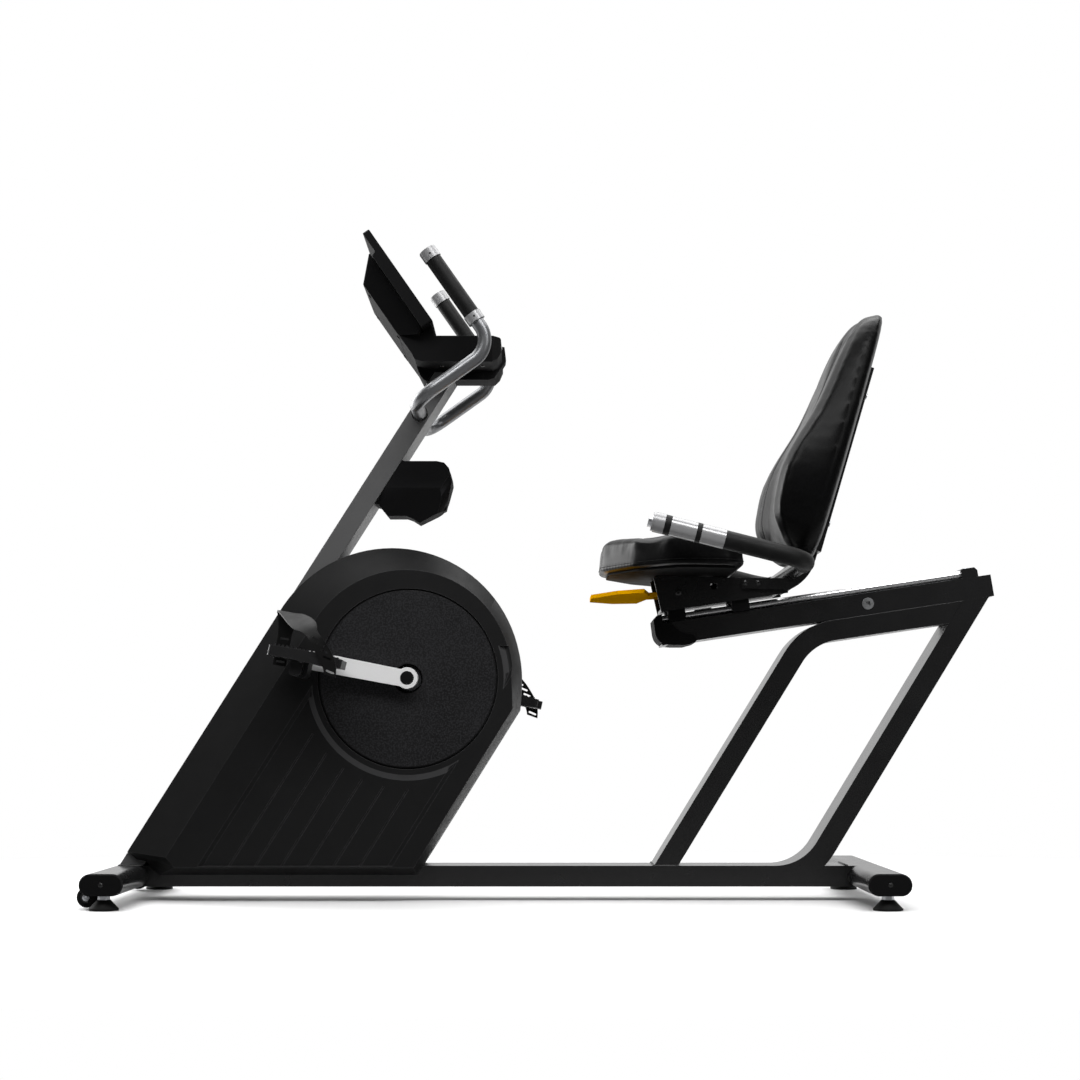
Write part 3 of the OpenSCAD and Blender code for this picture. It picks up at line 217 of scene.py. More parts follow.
@dataclass(frozen=True)
class MetallicPaint:
    """Dark metallic lacquer: small bright flakes under a satin coat."""

    name: str
    colour: Colour
    roughness: float = 0.38
    metallic: float = 0.75
    flakes: float = 1800.0

    def build(self) -> bpy.types.Material:
        """Builds the finish and returns its material."""
        g = Graph(self.name)
        cells = g.add("TexVoronoi", Vector=g.coords, Scale=self.flakes)
        sparkle = g.ramp(cells.outputs["Distance"], 0.0, 0.6)
        g.principled(
            Base_Color=g.blend(sparkle, scaled(self.colour, 1.08), scaled(self.colour, 0.96)),
            Metallic=self.metallic,
            Roughness=g.ramp(g.noise(30, 2), 0.25, 0.75, self.roughness - 0.02, self.roughness + 0.03),
            Coat_Weight=0.1,
            Coat_Roughness=0.25,
            Normal=g.bump(g.noise(500, 2), 0.004 * MM, 0.6),
        )
        return g.material


@dataclass(frozen=True)
class MouldedPlastic:
    """Injection-moulded plastic with a spark-eroded grain and a painted highlight that lightens its edges."""

    name: str
    colour: Colour
    roughness: float = 0.5
    grain: float = 1300.0
    grain_depth: float = 0.06 * MM
    speckle: float = 0.25
    specular: float = 0.4
    contrast: float = 2.2
    # Colour factor of the painted highlight on the edges; 1 paints no highlight.
    edge: float = 4.0

    def build(self) -> bpy.types.Material:
        """Builds the finish and returns its material."""
        g = Graph(self.name)
        grain = g.noise(self.grain, 2)
        dots = g.ramp(grain, 0.45, 0.68)
        cloud = g.ramp(g.noise(6, 4), 0.3, 0.7, -0.15, 0.15)
        tone = g.math("ADD", g.math("MULTIPLY", dots, self.speckle), cloud)
        body = g.blend(g.math("ADD", tone, 0.2), self.colour, scaled(self.colour, self.contrast))
        g.principled(
            # Painted highlight: the edges get the colour times the edge factor, standing in for light caught
            # on them.
            Base_Color=g.blend(g.painted_edge_highlight(1.6 * MM), body, scaled(self.colour, self.edge)),
            Roughness=g.ramp(g.noise(40, 3), 0.2, 0.8, self.roughness - 0.05, self.roughness + 0.06),
            Specular_IOR_Level=self.specular,
            Normal=g.bump(grain, self.grain_depth, 0.7),
        )
        return g.material


@dataclass(frozen=True)
class Rubber:
    """Moulded rubber: matte, with a faint bloom of dust."""

    name: str
    colour: Colour
    roughness: float = 0.62
    pores: float = 900.0
    pore_depth: float = 0.08 * MM

    def build(self) -> bpy.types.Material:
        """Builds the finish and returns its material."""
        g = Graph(self.name)
        bloom = g.ramp(g.noise(35, 5), 0.45, 0.8)
        g.principled(
            Base_Color=g.blend(bloom, self.colour, scaled(self.colour, 1.9)),
            Roughness=g.ramp(g.noise(60, 3), 0.2, 0.8, self.roughness - 0.06, self.roughness + 0.1),
            Specular_IOR_Level=0.15,
            Normal=g.bump(g.noise(self.pores, 2), self.pore_depth, 0.5),
        )
        return g.material


class Lay(Enum):
    """Direction of the fine lines on a worked metal surface."""

    ALONG_X = (0.04, 1.0, 1.0)
    NONE = (1.0, 1.0, 1.0)


@dataclass(frozen=True)
class BareMetal:
    """Bare or plated metal, with the lines that turning, drawing or brushing leaves."""

    name: str
    colour: Colour
    roughness: float = 0.25
    lay: Lay = Lay.NONE
    lines: float = 900.0
    line_depth: float = 0.02 * MM

    def build(self) -> bpy.types.Material:
        """Builds the finish and returns its material."""
        g = Graph(self.name)
        lines = g.noise(self.lines, 3, self.lay.value)
        smear = g.noise(18, 4)
        g.principled(
            Base_Color=g.blend(g.ramp(smear, 0.3, 0.7), scaled(self.colour, 0.93), self.colour),
            Metallic=1.0,
            Roughness=g.ramp(g.math("ADD", lines, smear), 0.7, 1.3,
                             self.roughness * 0.8, self.roughness * 1.25),
            Normal=g.bump(lines, self.line_depth, 0.5),
        )
        return g.material


@dataclass(frozen=True)
class Vinyl:
    """Upholstery vinyl: a fine leather grain, shallow creases and a soft gloss."""

    name: str
    colour: Colour
    roughness: float = 0.40
    grain: float = 520.0
    grain_depth: float = 0.03 * MM

    def build(self) -> bpy.types.Material:
        """Builds the finish and returns its material."""
        g = Graph(self.name)
        warp = g.noise(240, 3)
        cells = g.add("TexVoronoi", {"feature": "DISTANCE_TO_EDGE"}, Vector=g.coords, Scale=self.grain)
        pebble = g.ramp(cells.outputs["Distance"], 0.0, 0.25)
        fine = g.bump(pebble, self.grain_depth, 0.35)
        creases = g.ramp(g.noise(28, 6, (1.0, 1.0, 1.6), 0.62), 0.38, 0.62)
        g.principled(
            Base_Color=g.blend(g.ramp(warp, 0.3, 0.7), scaled(self.colour, 0.8), scaled(self.colour, 1.35)),
            Roughness=g.ramp(g.math("ADD", warp, creases), 0.4, 1.6,
                             self.roughness - 0.02, self.roughness + 0.04),
            Specular_IOR_Level=0.08,
            Normal=g.bump(creases, 0.04 * MM, 0.2, fine),
        )
        return g.material


@dataclass(frozen=True)
class Lens:
    """Dark glossy window of a display."""

    name: str
    colour: Colour

    def build(self) -> bpy.types.Material:
        """Builds the finish and returns its material."""
        g = Graph(self.name)
        g.principled(
            Base_Color=g.blend(g.ramp(g.noise(5, 3), 0.3, 0.7), self.colour, scaled(self.colour, 1.5)),
            Roughness=g.ramp(g.noise(14, 4), 0.3, 0.7, 0.05, 0.12),
            Coat_Weight=0.5,
            Coat_Roughness=0.04,
            Specular_IOR_Level=0.5,
        )
        return g.material


class Finishes:
    """Every finish of the bike, built once and handed out by name."""

    CATALOGUE = (
        PowderCoat("frame_coat", (0.0078, 0.0078, 0.008), 0.26),
        MetallicPaint("mast_lacquer", (0.115, 0.115, 0.116), 0.36, 0.3),
        MetallicPaint("bar_lacquer", (0.19, 0.193, 0.20), 0.34),
        MetallicPaint("satin_silver", (0.29, 0.29, 0.295), 0.34, 0.3, 2600),
        MetallicPaint("contact_plate", (0.33, 0.33, 0.335), 0.22, 0.3, 3000),
        # The last number of each moulded plastic is the colour factor of its painted edge highlight.
        MouldedPlastic("housing_shell", (0.0075, 0.0075, 0.0077), 0.5, 1500, 0.02 * MM, 0.2, 0.12, 1.8, 6.0),
        MouldedPlastic("disc_texture", (0.002, 0.002, 0.0022), 0.5, 340, 0.35 * MM, 1.3, 0.2, 9.0, 1.0),
        MouldedPlastic("trim_plastic", (0.005, 0.005, 0.0052), 0.6, 1500, 0.01 * MM, 0.2, 0.03),
        MouldedPlastic("pedal_plastic", (0.007, 0.007, 0.0073), 0.45, 1100, 0.03 * MM, 0.3, 0.25),
        MouldedPlastic("pan_plastic", (0.006, 0.006, 0.0062), 0.6, 900, 0.01 * MM, 0.1, 0.03, 2.2, 1.0),
        MouldedPlastic("paddle_yellow", (0.98, 0.46, 0.0), 0.9, 1300, 0.01 * MM, 0.05, 0.0, 1.02, 1.02),
        Rubber("black_rubber", (0.007, 0.007, 0.007)),
        Rubber("grip_rubber", (0.006, 0.006, 0.006), 0.5, 1400, 0.05 * MM),
        Rubber("belt_rubber", (0.005, 0.005, 0.005)),
        BareMetal("satin_aluminium", (0.62, 0.63, 0.65), 0.30),
        BareMetal("zinc_steel", (0.45, 0.46, 0.48), 0.32),
        BareMetal("rod_chrome", (0.90, 0.90, 0.91), 0.26, Lay.ALONG_X, 1500, 0.005 * MM),
        BareMetal("turned_iron", (0.30, 0.305, 0.31), 0.42),
        MetallicPaint("crank_silver", (0.86, 0.86, 0.86), 0.34, 0.1, 2600),
        Vinyl("cushion_vinyl", (0.0026, 0.0026, 0.0027), 0.31),
        Rubber("strap_rubber", (0.0035, 0.0035, 0.0035), 0.5, 700, 0.06 * MM),
        Rubber("key_rubber", (0.045, 0.046, 0.048), 0.5, 1500, 0.03 * MM),
        Lens("display_grey", (0.011, 0.013, 0.014)),
        Rubber("seam_thread", (0.004, 0.004, 0.004), 0.55, 2500, 0.02 * MM),
        Lens("screen_lens", (0.004, 0.004, 0.005)),
    )

    def __init__(self) -> None:
        """Builds every finish in the catalogue."""
        self.materials = {finish.name: finish.build() for finish in self.CATALOGUE}

    def __getitem__(self, name: str) -> bpy.types.Material:
        """Returns the material of that finish."""
        return self.materials[name]


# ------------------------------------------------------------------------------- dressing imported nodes

@dataclass(frozen=True)
class EdgeBreak:
    """The small radius in millimetres on a part's edges, or None for a turned form, shaded as it is."""

    radius: Optional[float]
    segments: int = 2
    angle: float = math.radians(28)
    flatness: float = math.radians(0.3)

    def apply(self, obj: bpy.types.Object) -> None:
        """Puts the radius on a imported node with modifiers, which leave its mesh as it is.

        Args:
            obj: The node's object.
        """
        weld = obj.modifiers.new("weld", "WELD")
        weld.merge_threshold = 0.002 * MM
        if self.radius is not None:
            flat = obj.modifiers.new("flat_faces", "DECIMATE")
            flat.decimate_type = "DISSOLVE"
            flat.angle_limit = self.flatness
            bevel = obj.modifiers.new("edge_break", "BEVEL")
            bevel.width = self.radius * MM
            bevel.segments = self.segments
            bevel.limit_method = "ANGLE"
            bevel.angle_limit = self.angle
            bevel.use_clamp_overlap = True
        smooth = obj.modifiers.new("smooth", "NODES")
        smooth.node_group = smooth_by_angle()
        if self.radius is not None:
            even = obj.modifiers.new("even_shading", "WEIGHTED_NORMAL")
            even.keep_sharp = True
            even.weight = 80


def smooth_by_angle() -> bpy.types.NodeTree:
    """Returns the shared node group that shades smooth across edges flatter than 32 degrees."""
    name = "smooth_by_angle"
    if name in bpy.data.node_groups:
        return bpy.data.node_groups[name]
    tree = bpy.data.node_groups.new(name, "GeometryNodeTree")
    tree.interface.new_socket("Geometry", in_out="INPUT", socket_type="NodeSocketGeometry")
    limit = tree.interface.new_socket("Angle", in_out="INPUT", socket_type="NodeSocketFloat")
    limit.default_value = SMOOTH_LIMIT
    tree.interface.new_socket("Geometry", in_out="OUTPUT", socket_type="NodeSocketGeometry")
    start = tree.nodes.new("NodeGroupInput")
    angle = tree.nodes.new("GeometryNodeInputMeshEdgeAngle")
    compare = tree.nodes.new("FunctionNodeCompare")
    compare.operation = "LESS_EQUAL"
    faces = tree.nodes.new("GeometryNodeSetShadeSmooth")
    edges = tree.nodes.new("GeometryNodeSetShadeSmooth")
    edges.domain = "EDGE"
    end = tree.nodes.new("NodeGroupOutput")
    links = tree.links
    links.new(angle.outputs["Unsigned Angle"], compare.inputs["A"])
    links.new(start.outputs["Angle"], compare.inputs["B"])
    links.new(start.outputs["Geometry"], faces.inputs["Geometry"])
    links.new(faces.outputs["Geometry"], edges.inputs["Geometry"])
    links.new(compare.outputs["Result"], edges.inputs["Shade Smooth"])
    links.new(edges.outputs["Geometry"], end.inputs["Geometry"])
    return tree


@dataclass
class PackedFinish:
    """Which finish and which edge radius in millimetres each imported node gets; turned forms get none."""

    finishes: Finishes
    groups: tuple[tuple[str, Optional[float], str], ...] = (
        ("frame_coat", 1.2, "main_tube front_leg seat_rail"),
        ("frame_coat", 0.5, "front_stabilizer drive_bracket"),
        ("frame_coat", 0.8, "rear_stabilizer rod_stop seat_carriage seat_upright"),
        ("trim_plastic", 0.8, "stabilizer_caps bearing_blocks"),
        ("black_rubber", 0.8, "foot_pads transport_wheel_left transport_wheel_right"),
        ("zinc_steel", 0.3, "foot_studs pedal_spindles"),
        ("frame_coat", 0.4, "wheel_axles"),
        ("mast_lacquer", 1.6, "mast"),
        ("zinc_steel", 0.2, "drive_bearings"),
        ("belt_rubber", 0.2, "drive_belt"),
        ("housing_shell", 1.5, "housing_left housing_right"),
        ("disc_texture", 0.6, "disc_cover_left disc_cover_right"),
        ("trim_plastic", 1.5, "console_pod"),
        ("trim_plastic", 2.0, "console_shell bottle_holder"),
        ("trim_plastic", 1.0, "display_panel rail_nose_cap"),
        ("screen_lens", 0.2, "display_glass"),
        ("trim_plastic", 1.2, "accessory_tray"),
        ("bar_lacquer", None, "handlebar"),
        ("grip_rubber", None, "handlebar_grips handle_sleeves"),
        ("satin_silver", None, "grip_rings handle_caps"),
        ("rod_chrome", None, "guide_rods"),
        ("zinc_steel", 0.4, "lock_strip crank_axle flywheel_shaft lock_shoe"),
        ("turned_iron", 0.3, "rail_plug"),
        ("crank_silver", 1.6, "crank_arm_left crank_arm_right"),
        ("trim_plastic", 0.4, "crank_caps"),
        ("pedal_plastic", 0.5, "drive_pulley"),
        ("pedal_plastic", 0.6, "pedal_left pedal_right"),
        ("black_rubber", 0.2, "pedal_strap_left pedal_strap_right"),
        ("turned_iron", 0.6, "flywheel"),
        ("zinc_steel", 0.5, "brake_yoke"),
        ("pan_plastic", 0.6, "seat_pan"),
        ("cushion_vinyl", 2.0, "seat_pad backrest_pad"),
        ("frame_coat", None, "side_handles"),
        ("contact_plate", None, "pulse_plates"),
        ("paddle_yellow", 0.8, "seat_lever"),
        ("satin_aluminium", None, "handle_button_left handle_button_right"),
    )

    def dress(self) -> None:
        """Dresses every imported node."""
        plan = {name: (finish, radius) for finish, radius, names in self.groups for name in names.split()}
        for name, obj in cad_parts.items():
            finish, radius = plan[name]
            obj.data.materials.clear()
            obj.data.materials.append(self.finishes[finish])
            EdgeBreak(radius).apply(obj)
            LOG.info("%s wears %s", name, finish)


# ------------------------------------------------------------------------------------- shaping helpers

def design(x: float, y: float, z: float) -> Vector:
    """Returns a place given in millimetres from the crank's upright as a point of the frame."""
    return Vector((x + 3.0, y, z)) * MM


def new_object(name: str, mesh: bpy.types.Mesh, material: bpy.types.Material) -> bpy.types.Object:
    """Links a mesh to the scene as an object with one material.

    Args:
        name: The object's name.
        mesh: Its mesh.
        material: The only material that it wears.

    Returns:
        The object.
    """
    mesh.materials.clear()
    mesh.materials.append(material)
    obj = bpy.data.objects.new(name, mesh)
    bpy.context.scene.collection.objects.link(obj)
    return obj


def from_bmesh(name: str, bm: bmesh.types.BMesh, material: bpy.types.Material,
               smooth: bool = True) -> bpy.types.Object:
    """Turns a bmesh into an object, with its doubles merged and its faces outwards.

    Args:
        name: The object's name.
        bm: The bmesh, which is freed.
        material: The only material that it wears.
        smooth: Shades the faces smooth.

    Returns:
        The object.
    """
    bmesh.ops.remove_doubles(bm, verts=bm.verts, dist=0.01 * MM)
    bmesh.ops.recalc_face_normals(bm, faces=bm.faces)
    for face in bm.faces:
        face.smooth = smooth
    mesh = bpy.data.meshes.new(name)
    bm.to_mesh(mesh)
    bm.free()
    return new_object(name, mesh, material)


def baked(obj: bpy.types.Object) -> bpy.types.Object:
    """Applies every modifier of an object by taking its evaluated mesh, and returns the object."""
    graph = bpy.context.evaluated_depsgraph_get()
    mesh = bpy.data.meshes.new_from_object(obj.evaluated_get(graph))
    old = obj.data
    obj.modifiers.clear()
    obj.data = mesh
    if old.users == 0:
        bpy.data.meshes.remove(old)
    return obj


def add_rings(bm: bmesh.types.BMesh, rings: Sequence[Sequence[Vector]], capped: bool = True,
              looped: bool = False) -> None:
    """Skins closed rings of equal length with quads.

    Args:
        bm: The bmesh to add to.
        rings: The rings in order.
        capped: Closes the first and the last ring.
        looped: Joins the last ring to the first.
    """
    loops = [[bm.verts.new(point) for point in ring] for ring in rings]
    pairs = list(zip(loops, loops[1:])) + ([(loops[-1], loops[0])] if looped else [])
    for low, high in pairs:
        count = len(low)
        for i in range(count):
            j = (i + 1) % count
            bm.faces.new((low[i], low[j], high[j], high[i]))
    if capped and not looped:
        bm.faces.new(list(reversed(loops[0])))
        bm.faces.new(loops[-1])


def frames_along(path: Sequence[Vector], closed: bool = False) -> list[tuple[Vector, Vector, Vector]]:
    """Gives a steady frame at each point of a path.

    Args:
        path: The points.
        closed: The path's end joins its start.

    Returns:
        The direction, side and up vector at each point, without twist between neighbours.
    """
    count = len(path)
    result = []
    up = None
    for i, point in enumerate(path):
        before = path[(i - 1) % count] if closed or i > 0 else point
        after = path[(i + 1) % count] if closed or i < count - 1 else point
        direction = (after - before).normalized()
        if up is None:
            up = Vector((0, 0, 1)) if abs(direction.z) < 0.9 else Vector((1, 0, 0))
        up = (up - direction * up.dot(direction)).normalized()
        result.append((direction, direction.cross(up), up))
    return result


def add_tube(bm: bmesh.types.BMesh, path: Sequence[Vector], radius: float, sides: int = 10,
             closed: bool = False) -> None:
    """Adds a round tube along a path.

    Args:
        bm: The bmesh to add to.
        path: The points of its centre line.
        radius: Its radius.
        sides: Corners of its section.
        closed: Joins the end to the start.
    """
    rings = []
    for point, (_, side, up) in zip(path, frames_along(path, closed)):
        rings.append([point + (side * math.cos(a) + up * math.sin(a)) * radius
                      for a in (2 * math.pi * i / sides for i in range(sides))])
    add_rings(bm, rings, capped=not closed, looped=closed)


def smooth_path(points: Sequence[Vector], step: float, closed: bool = False) -> list[Vector]:
    """Rounds a coarse path into a spline with points a step apart.

    Args:
        points: The coarse path.
        step: Distance between the new points.
        closed: The path's end joins its start.

    Returns:
        The new points.
    """
    count = len(points)
    dense = []
    for i in range(count if closed else count - 1):
        a = points[(i - 1) % count] if closed or i > 0 else points[0] * 2 - points[1]
        b, c = points[i], points[(i + 1) % count]
        d = points[(i + 2) % count] if closed or i < count - 2 else points[-1] * 2 - points[-2]
        for k in range(12):
            t = k / 12
            dense.append(0.5 * (2 * b + (c - a) * t + (2 * a - 5 * b + 4 * c - d) * t * t
                                + (3 * b - a - 3 * c + d) * t ** 3))
    dense.append(points[0] if closed else points[-1])
    return even_path([point.copy() for point in dense], step, closed)


def even_path(points: Sequence[Vector], step: float, closed: bool = False) -> list[Vector]:
    """Spaces a path's points evenly.

    Args:
        points: The path; a closed one ends where it starts.
        step: The wanted distance, which is fitted to the length.
        closed: Leaves out the last point, which is the first again.

    Returns:
        The new points.
    """
    lengths = [(b - a).length for a, b in zip(points, points[1:])]
    total = sum(lengths)
    count = max(2, round(total / step))
    result, i, done = [], 0, 0.0
    for k in range(count + 1):
        want = total * k / count
        while i < len(lengths) - 1 and done + lengths[i] < want:
            done += lengths[i]
            i += 1
        share = (want - done) / lengths[i] if lengths[i] else 0.0
        result.append(points[i].lerp(points[i + 1], min(max(share, 0.0), 1.0)))
    return result[:-1] if closed else result


# ------------------------------------------------------------------------------------- repeated pieces

class Repeater:
    """Geometry Nodes that set one small form at many places and end in a plain mesh."""

    @staticmethod
    def tree() -> bpy.types.NodeTree:
        """Returns the shared node group: the form stands on each point along its stored axis."""
        name = "set_on_points"
        if name in bpy.data.node_groups:
            return bpy.data.node_groups[name]
        tree = bpy.data.node_groups.new(name, "GeometryNodeTree")
        face = tree.interface
        face.new_socket("Geometry", in_out="INPUT", socket_type="NodeSocketGeometry")
        face.new_socket("Form", in_out="INPUT", socket_type="NodeSocketObject")
        size = face.new_socket("Size", in_out="INPUT", socket_type="NodeSocketFloat")
        size.default_value = 1.0
        face.new_socket("Material", in_out="INPUT", socket_type="NodeSocketMaterial")
        face.new_socket("Geometry", in_out="OUTPUT", socket_type="NodeSocketGeometry")
        add, links = tree.nodes.new, tree.links
        start, end = add("NodeGroupInput"), add("NodeGroupOutput")
        form = add("GeometryNodeObjectInfo")
        links.new(start.outputs["Form"], form.inputs["Object"])
        turn = None
        for attribute, axis in (("axis", "Z"), ("along", "X")):
            read = add("GeometryNodeInputNamedAttribute")
            read.data_type = "FLOAT_VECTOR"
            read.inputs["Name"].default_value = attribute
            align = add("FunctionNodeAlignRotationToVector")
            align.axis = axis
            if turn is not None:
                align.pivot_axis = "Z"
                links.new(turn, align.inputs["Rotation"])
            links.new(read.outputs["Attribute"], align.inputs["Vector"])
            turn = align.outputs["Rotation"]
        place = add("GeometryNodeInstanceOnPoints")
        links.new(start.outputs["Geometry"], place.inputs["Points"])
        links.new(form.outputs["Geometry"], place.inputs["Instance"])
        links.new(turn, place.inputs["Rotation"])
        links.new(start.outputs["Size"], place.inputs["Scale"])
        real = add("GeometryNodeRealizeInstances")
        links.new(place.outputs["Instances"], real.inputs["Geometry"])
        dress = add("GeometryNodeSetMaterial")
        links.new(real.outputs["Geometry"], dress.inputs["Geometry"])
        links.new(start.outputs["Material"], dress.inputs["Material"])
        links.new(dress.outputs["Geometry"], end.inputs["Geometry"])
        return tree

    @staticmethod
    def spread(name: str, form: bpy.types.Object, places: Sequence[tuple[Vector, Vector, Vector]],
               material: bpy.types.Material, size: float = 1.0) -> bpy.types.Object:
        """Sets a form at each place and returns the one plain mesh.

        Args:
            name: The new object's name.
            form: The form, with its foot at the origin and its head along +Z.
            places: Point, axis and direction across the axis of each copy.
            material: The material of the copies.
            size: Scale of the copies.

        Returns:
            The new object.
        """
        mesh = bpy.data.meshes.new(name)
        mesh.from_pydata([place for place, _, _ in places], [], [])
        for key, pick in (("axis", 1), ("along", 2)):
            layer = mesh.attributes.new(key, "FLOAT_VECTOR", "POINT")
            layer.data.foreach_set("vector", [value for place in places for value in place[pick]])
        obj = new_object(name, mesh, material)
        modifier = obj.modifiers.new("set_on_points", "NODES")
        modifier.node_group = Repeater.tree()
        sockets = {item.name: item.identifier for item in modifier.node_group.interface.items_tree
                   if item.in_out == "INPUT"}
        modifier[sockets["Form"]] = form
        modifier[sockets["Size"]] = size
        modifier[sockets["Material"]] = material
        baked(obj)
        for layer in ("axis", "along"):
            if layer in obj.data.attributes:
                obj.data.attributes.remove(obj.data.attributes[layer])
        return obj


# ---------------------------------------------------------------------------------------- soft goods

@dataclass
class Seam:
    """A line of stitching that lies in a shallow sewn channel."""

    name: str
    path: list[Vector]
    closed: bool = False
    depth: float = 2.2 * MM
    width: float = 6.0 * MM
    pitch: float = 5.0 * MM
    thread: float = 0.45 * MM


@dataclass
class Cushion:
    """A foam cushion under vinyl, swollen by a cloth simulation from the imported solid's form."""

    finishes: Finishes
    node: str
    body: str
    seams: Callable[["Cushion"], list[Seam]]
    pinned: Callable[[Vector], bool]
    form: Callable[[Vector], Vector] = lambda point: point
    voxel: float = 5 * MM
    shrink: float = 7 * MM
    cap: float = 24 * MM
    pressure: float = 4.0
    frames: int = 20
    fill: float = 0.85
    give: float = 0.3
    smooth_rounds: int = 3
    surface: Optional[object] = None

    def build(self) -> bpy.types.Object:
        """Builds the cushion and its stitching, which ride on its body.

        Returns:
            The cushion.
        """
        low, high = (Vector(corner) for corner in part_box(self.node))
        obj = self.copy_solid()
        remesh = obj.modifiers.new("remesh", "REMESH")
        remesh.mode = "VOXEL"
        remesh.voxel_size = self.voxel
        baked(obj)
        for vertex in obj.data.vertices:
            vertex.co = self.form(vertex.co)
        self.soften(obj, self.smooth_rounds)
        self.swell(obj)
        self.soften(obj, 2)
        self.fit(obj, low, high)
        rise = obj.modifiers.new("round_off", "SUBSURF")
        rise.levels = rise.render_levels = 1
        baked(obj)
        for face in obj.data.polygons:
            face.use_smooth = True
        self.surface = self.tree_of(obj)
        for seam in self.seams(self):
            self.sew(obj, seam)
        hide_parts(self.node)
        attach(obj, self.body)
        LOG.info("%s has %d faces", obj.name, len(obj.data.polygons))
        return obj

    def copy_solid(self) -> bpy.types.Object:
        """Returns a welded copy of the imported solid."""
        bm = bmesh.new()
        bm.from_mesh(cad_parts[self.node].data)
        bmesh.ops.remove_doubles(bm, verts=bm.verts, dist=0.02 * MM)
        return from_bmesh(self.node + "_vinyl", bm, self.finishes["cushion_vinyl"])

    def soften(self, obj: bpy.types.Object, rounds: int) -> None:
        """Averages each vertex with its neighbours a few times."""
        bm = bmesh.new()
        bm.from_mesh(obj.data)
        for _ in range(rounds):
            bmesh.ops.smooth_vert(bm, verts=bm.verts, factor=0.5, use_axis_x=True, use_axis_y=True,
                                  use_axis_z=True)
        bm.to_mesh(obj.data)
        bm.free()

    def swell(self, obj: bpy.types.Object) -> None:
        """Shrinks the form, swells it with pressure, and lets the firm foam give part of the way."""
        solid = [vertex.co.copy() for vertex in obj.data.vertices]
        start = [vertex.co - vertex.normal * self.shrink for vertex in obj.data.vertices]
        for vertex, place in zip(obj.data.vertices, start):
            vertex.co = place
        pins = obj.vertex_groups.new(name="pins")
        pins.add([i for i, place in enumerate(start) if self.pinned(place)], 1.0, "REPLACE")
        modifier = obj.modifiers.new("cloth", "CLOTH")
        cloth = modifier.settings
        cloth.use_pressure = True
        cloth.uniform_pressure_force = self.pressure
        cloth.effector_weights.gravity = 0.0
        cloth.vertex_group_mass = pins.name
        cloth.quality = 5
        modifier.collision_settings.use_collision = False
        scene = bpy.context.scene
        for number in range(1, self.frames + 1):
            scene.frame_set(number)
        baked(obj)
        scene.frame_set(1)
        for vertex, place, first in zip(obj.data.vertices, start, solid):
            move = vertex.co - place
            if move.length > self.cap:
                move = move.normalized() * self.cap
            vertex.co = first if self.pinned(place) else first.lerp(place + move, self.give)
        obj.vertex_groups.clear()

    def fit(self, obj: bpy.types.Object, low: Vector, high: Vector) -> None:
        """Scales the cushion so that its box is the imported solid's box."""
        points = [vertex.co for vertex in obj.data.vertices]
        small = Vector(min(point[k] for point in points) for k in range(3))
        large = Vector(max(point[k] for point in points) for k in range(3))
        for vertex in obj.data.vertices:
            vertex.co = Vector(low[k] + (vertex.co[k] - small[k]) / (large[k] - small[k])
                               * (high[k] - low[k]) for k in range(3))

    def tree_of(self, obj: bpy.types.Object) -> object:
        """Returns a search tree of the surface."""
        return BVHTree.FromObject(obj, bpy.context.evaluated_depsgraph_get())

    def sew(self, obj: bpy.types.Object, seam: Seam) -> None:
        """Presses a channel into the vinyl along a seam and lays the stitches in it.

        Args:
            obj: The cushion.
            seam: The seam; its path is dropped onto the surface.
        """
        path = even_path(seam.path + (seam.path[:1] if seam.closed else []), 2.0 * MM)
        hits = [self.surface.find_nearest(point) for point in path]
        line = KDTree(len(hits))
        for i, hit in enumerate(hits):
            line.insert(hit[0], i)
        line.balance()
        normals = [vertex.normal.copy() for vertex in obj.data.vertices]
        for vertex, normal in zip(obj.data.vertices, normals):
            _, i, distance = line.find(vertex.co)
            if distance < 3 * seam.width:
                press = seam.depth * math.exp(-(distance / seam.width) ** 2)
                vertex.co -= normal * press
        obj.data.update()
        stitches = []
        thread = even_path([hit[0] - hit[1] * (seam.depth - seam.thread) for hit in hits], seam.pitch)
        for point, after in zip(thread, thread[1:]):
            _, i, _ = line.find(point)
            stitches.append(((point + after) / 2, hits[i][1], (after - point).normalized()))
        form = self.stitch_form(seam)
        piece = Repeater.spread(f"{self.node}_{seam.name}", form, stitches,
                                self.finishes["seam_thread"])
        bpy.data.objects.remove(form)
        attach(piece, self.body)

    def stitch_form(self, seam: Seam) -> bpy.types.Object:
        """Returns one stitch, lying along X with its back up."""
        bm = bmesh.new()
        half = seam.pitch * 0.42
        path = [Vector((half * t, 0, seam.thread * 0.9 * (1 - t * t))) for t in (-1, -0.6, 0, 0.6, 1)]
        add_tube(bm, path, seam.thread, 6)
        return from_bmesh("stitch_form", bm, self.finishes["seam_thread"])


def hull_outline(circles: Sequence[Point], inset: float, count: int = 96) -> list[Vector]:
    """Gives the outline round mirrored circles, seen from above.

    Args:
        circles: Place along X, distance from the middle and radius of each, in millimetres.
        inset: How far inside the hull the outline runs, in millimetres.
        count: Directions that are tried.

    Returns:
        The outline's points in metres, at height 0.
    """
    both = [(x, s * y, r - inset) for x, y, r in circles for s in (-1, 1)]
    points = []
    for i in range(count):
        a = 2 * math.pi * i / count
        x, y, r = max(both, key=lambda c: c[0] * math.cos(a) + c[1] * math.sin(a) + c[2])
        points.append(design(x + r * math.cos(a), y + r * math.sin(a), 0))
    return points


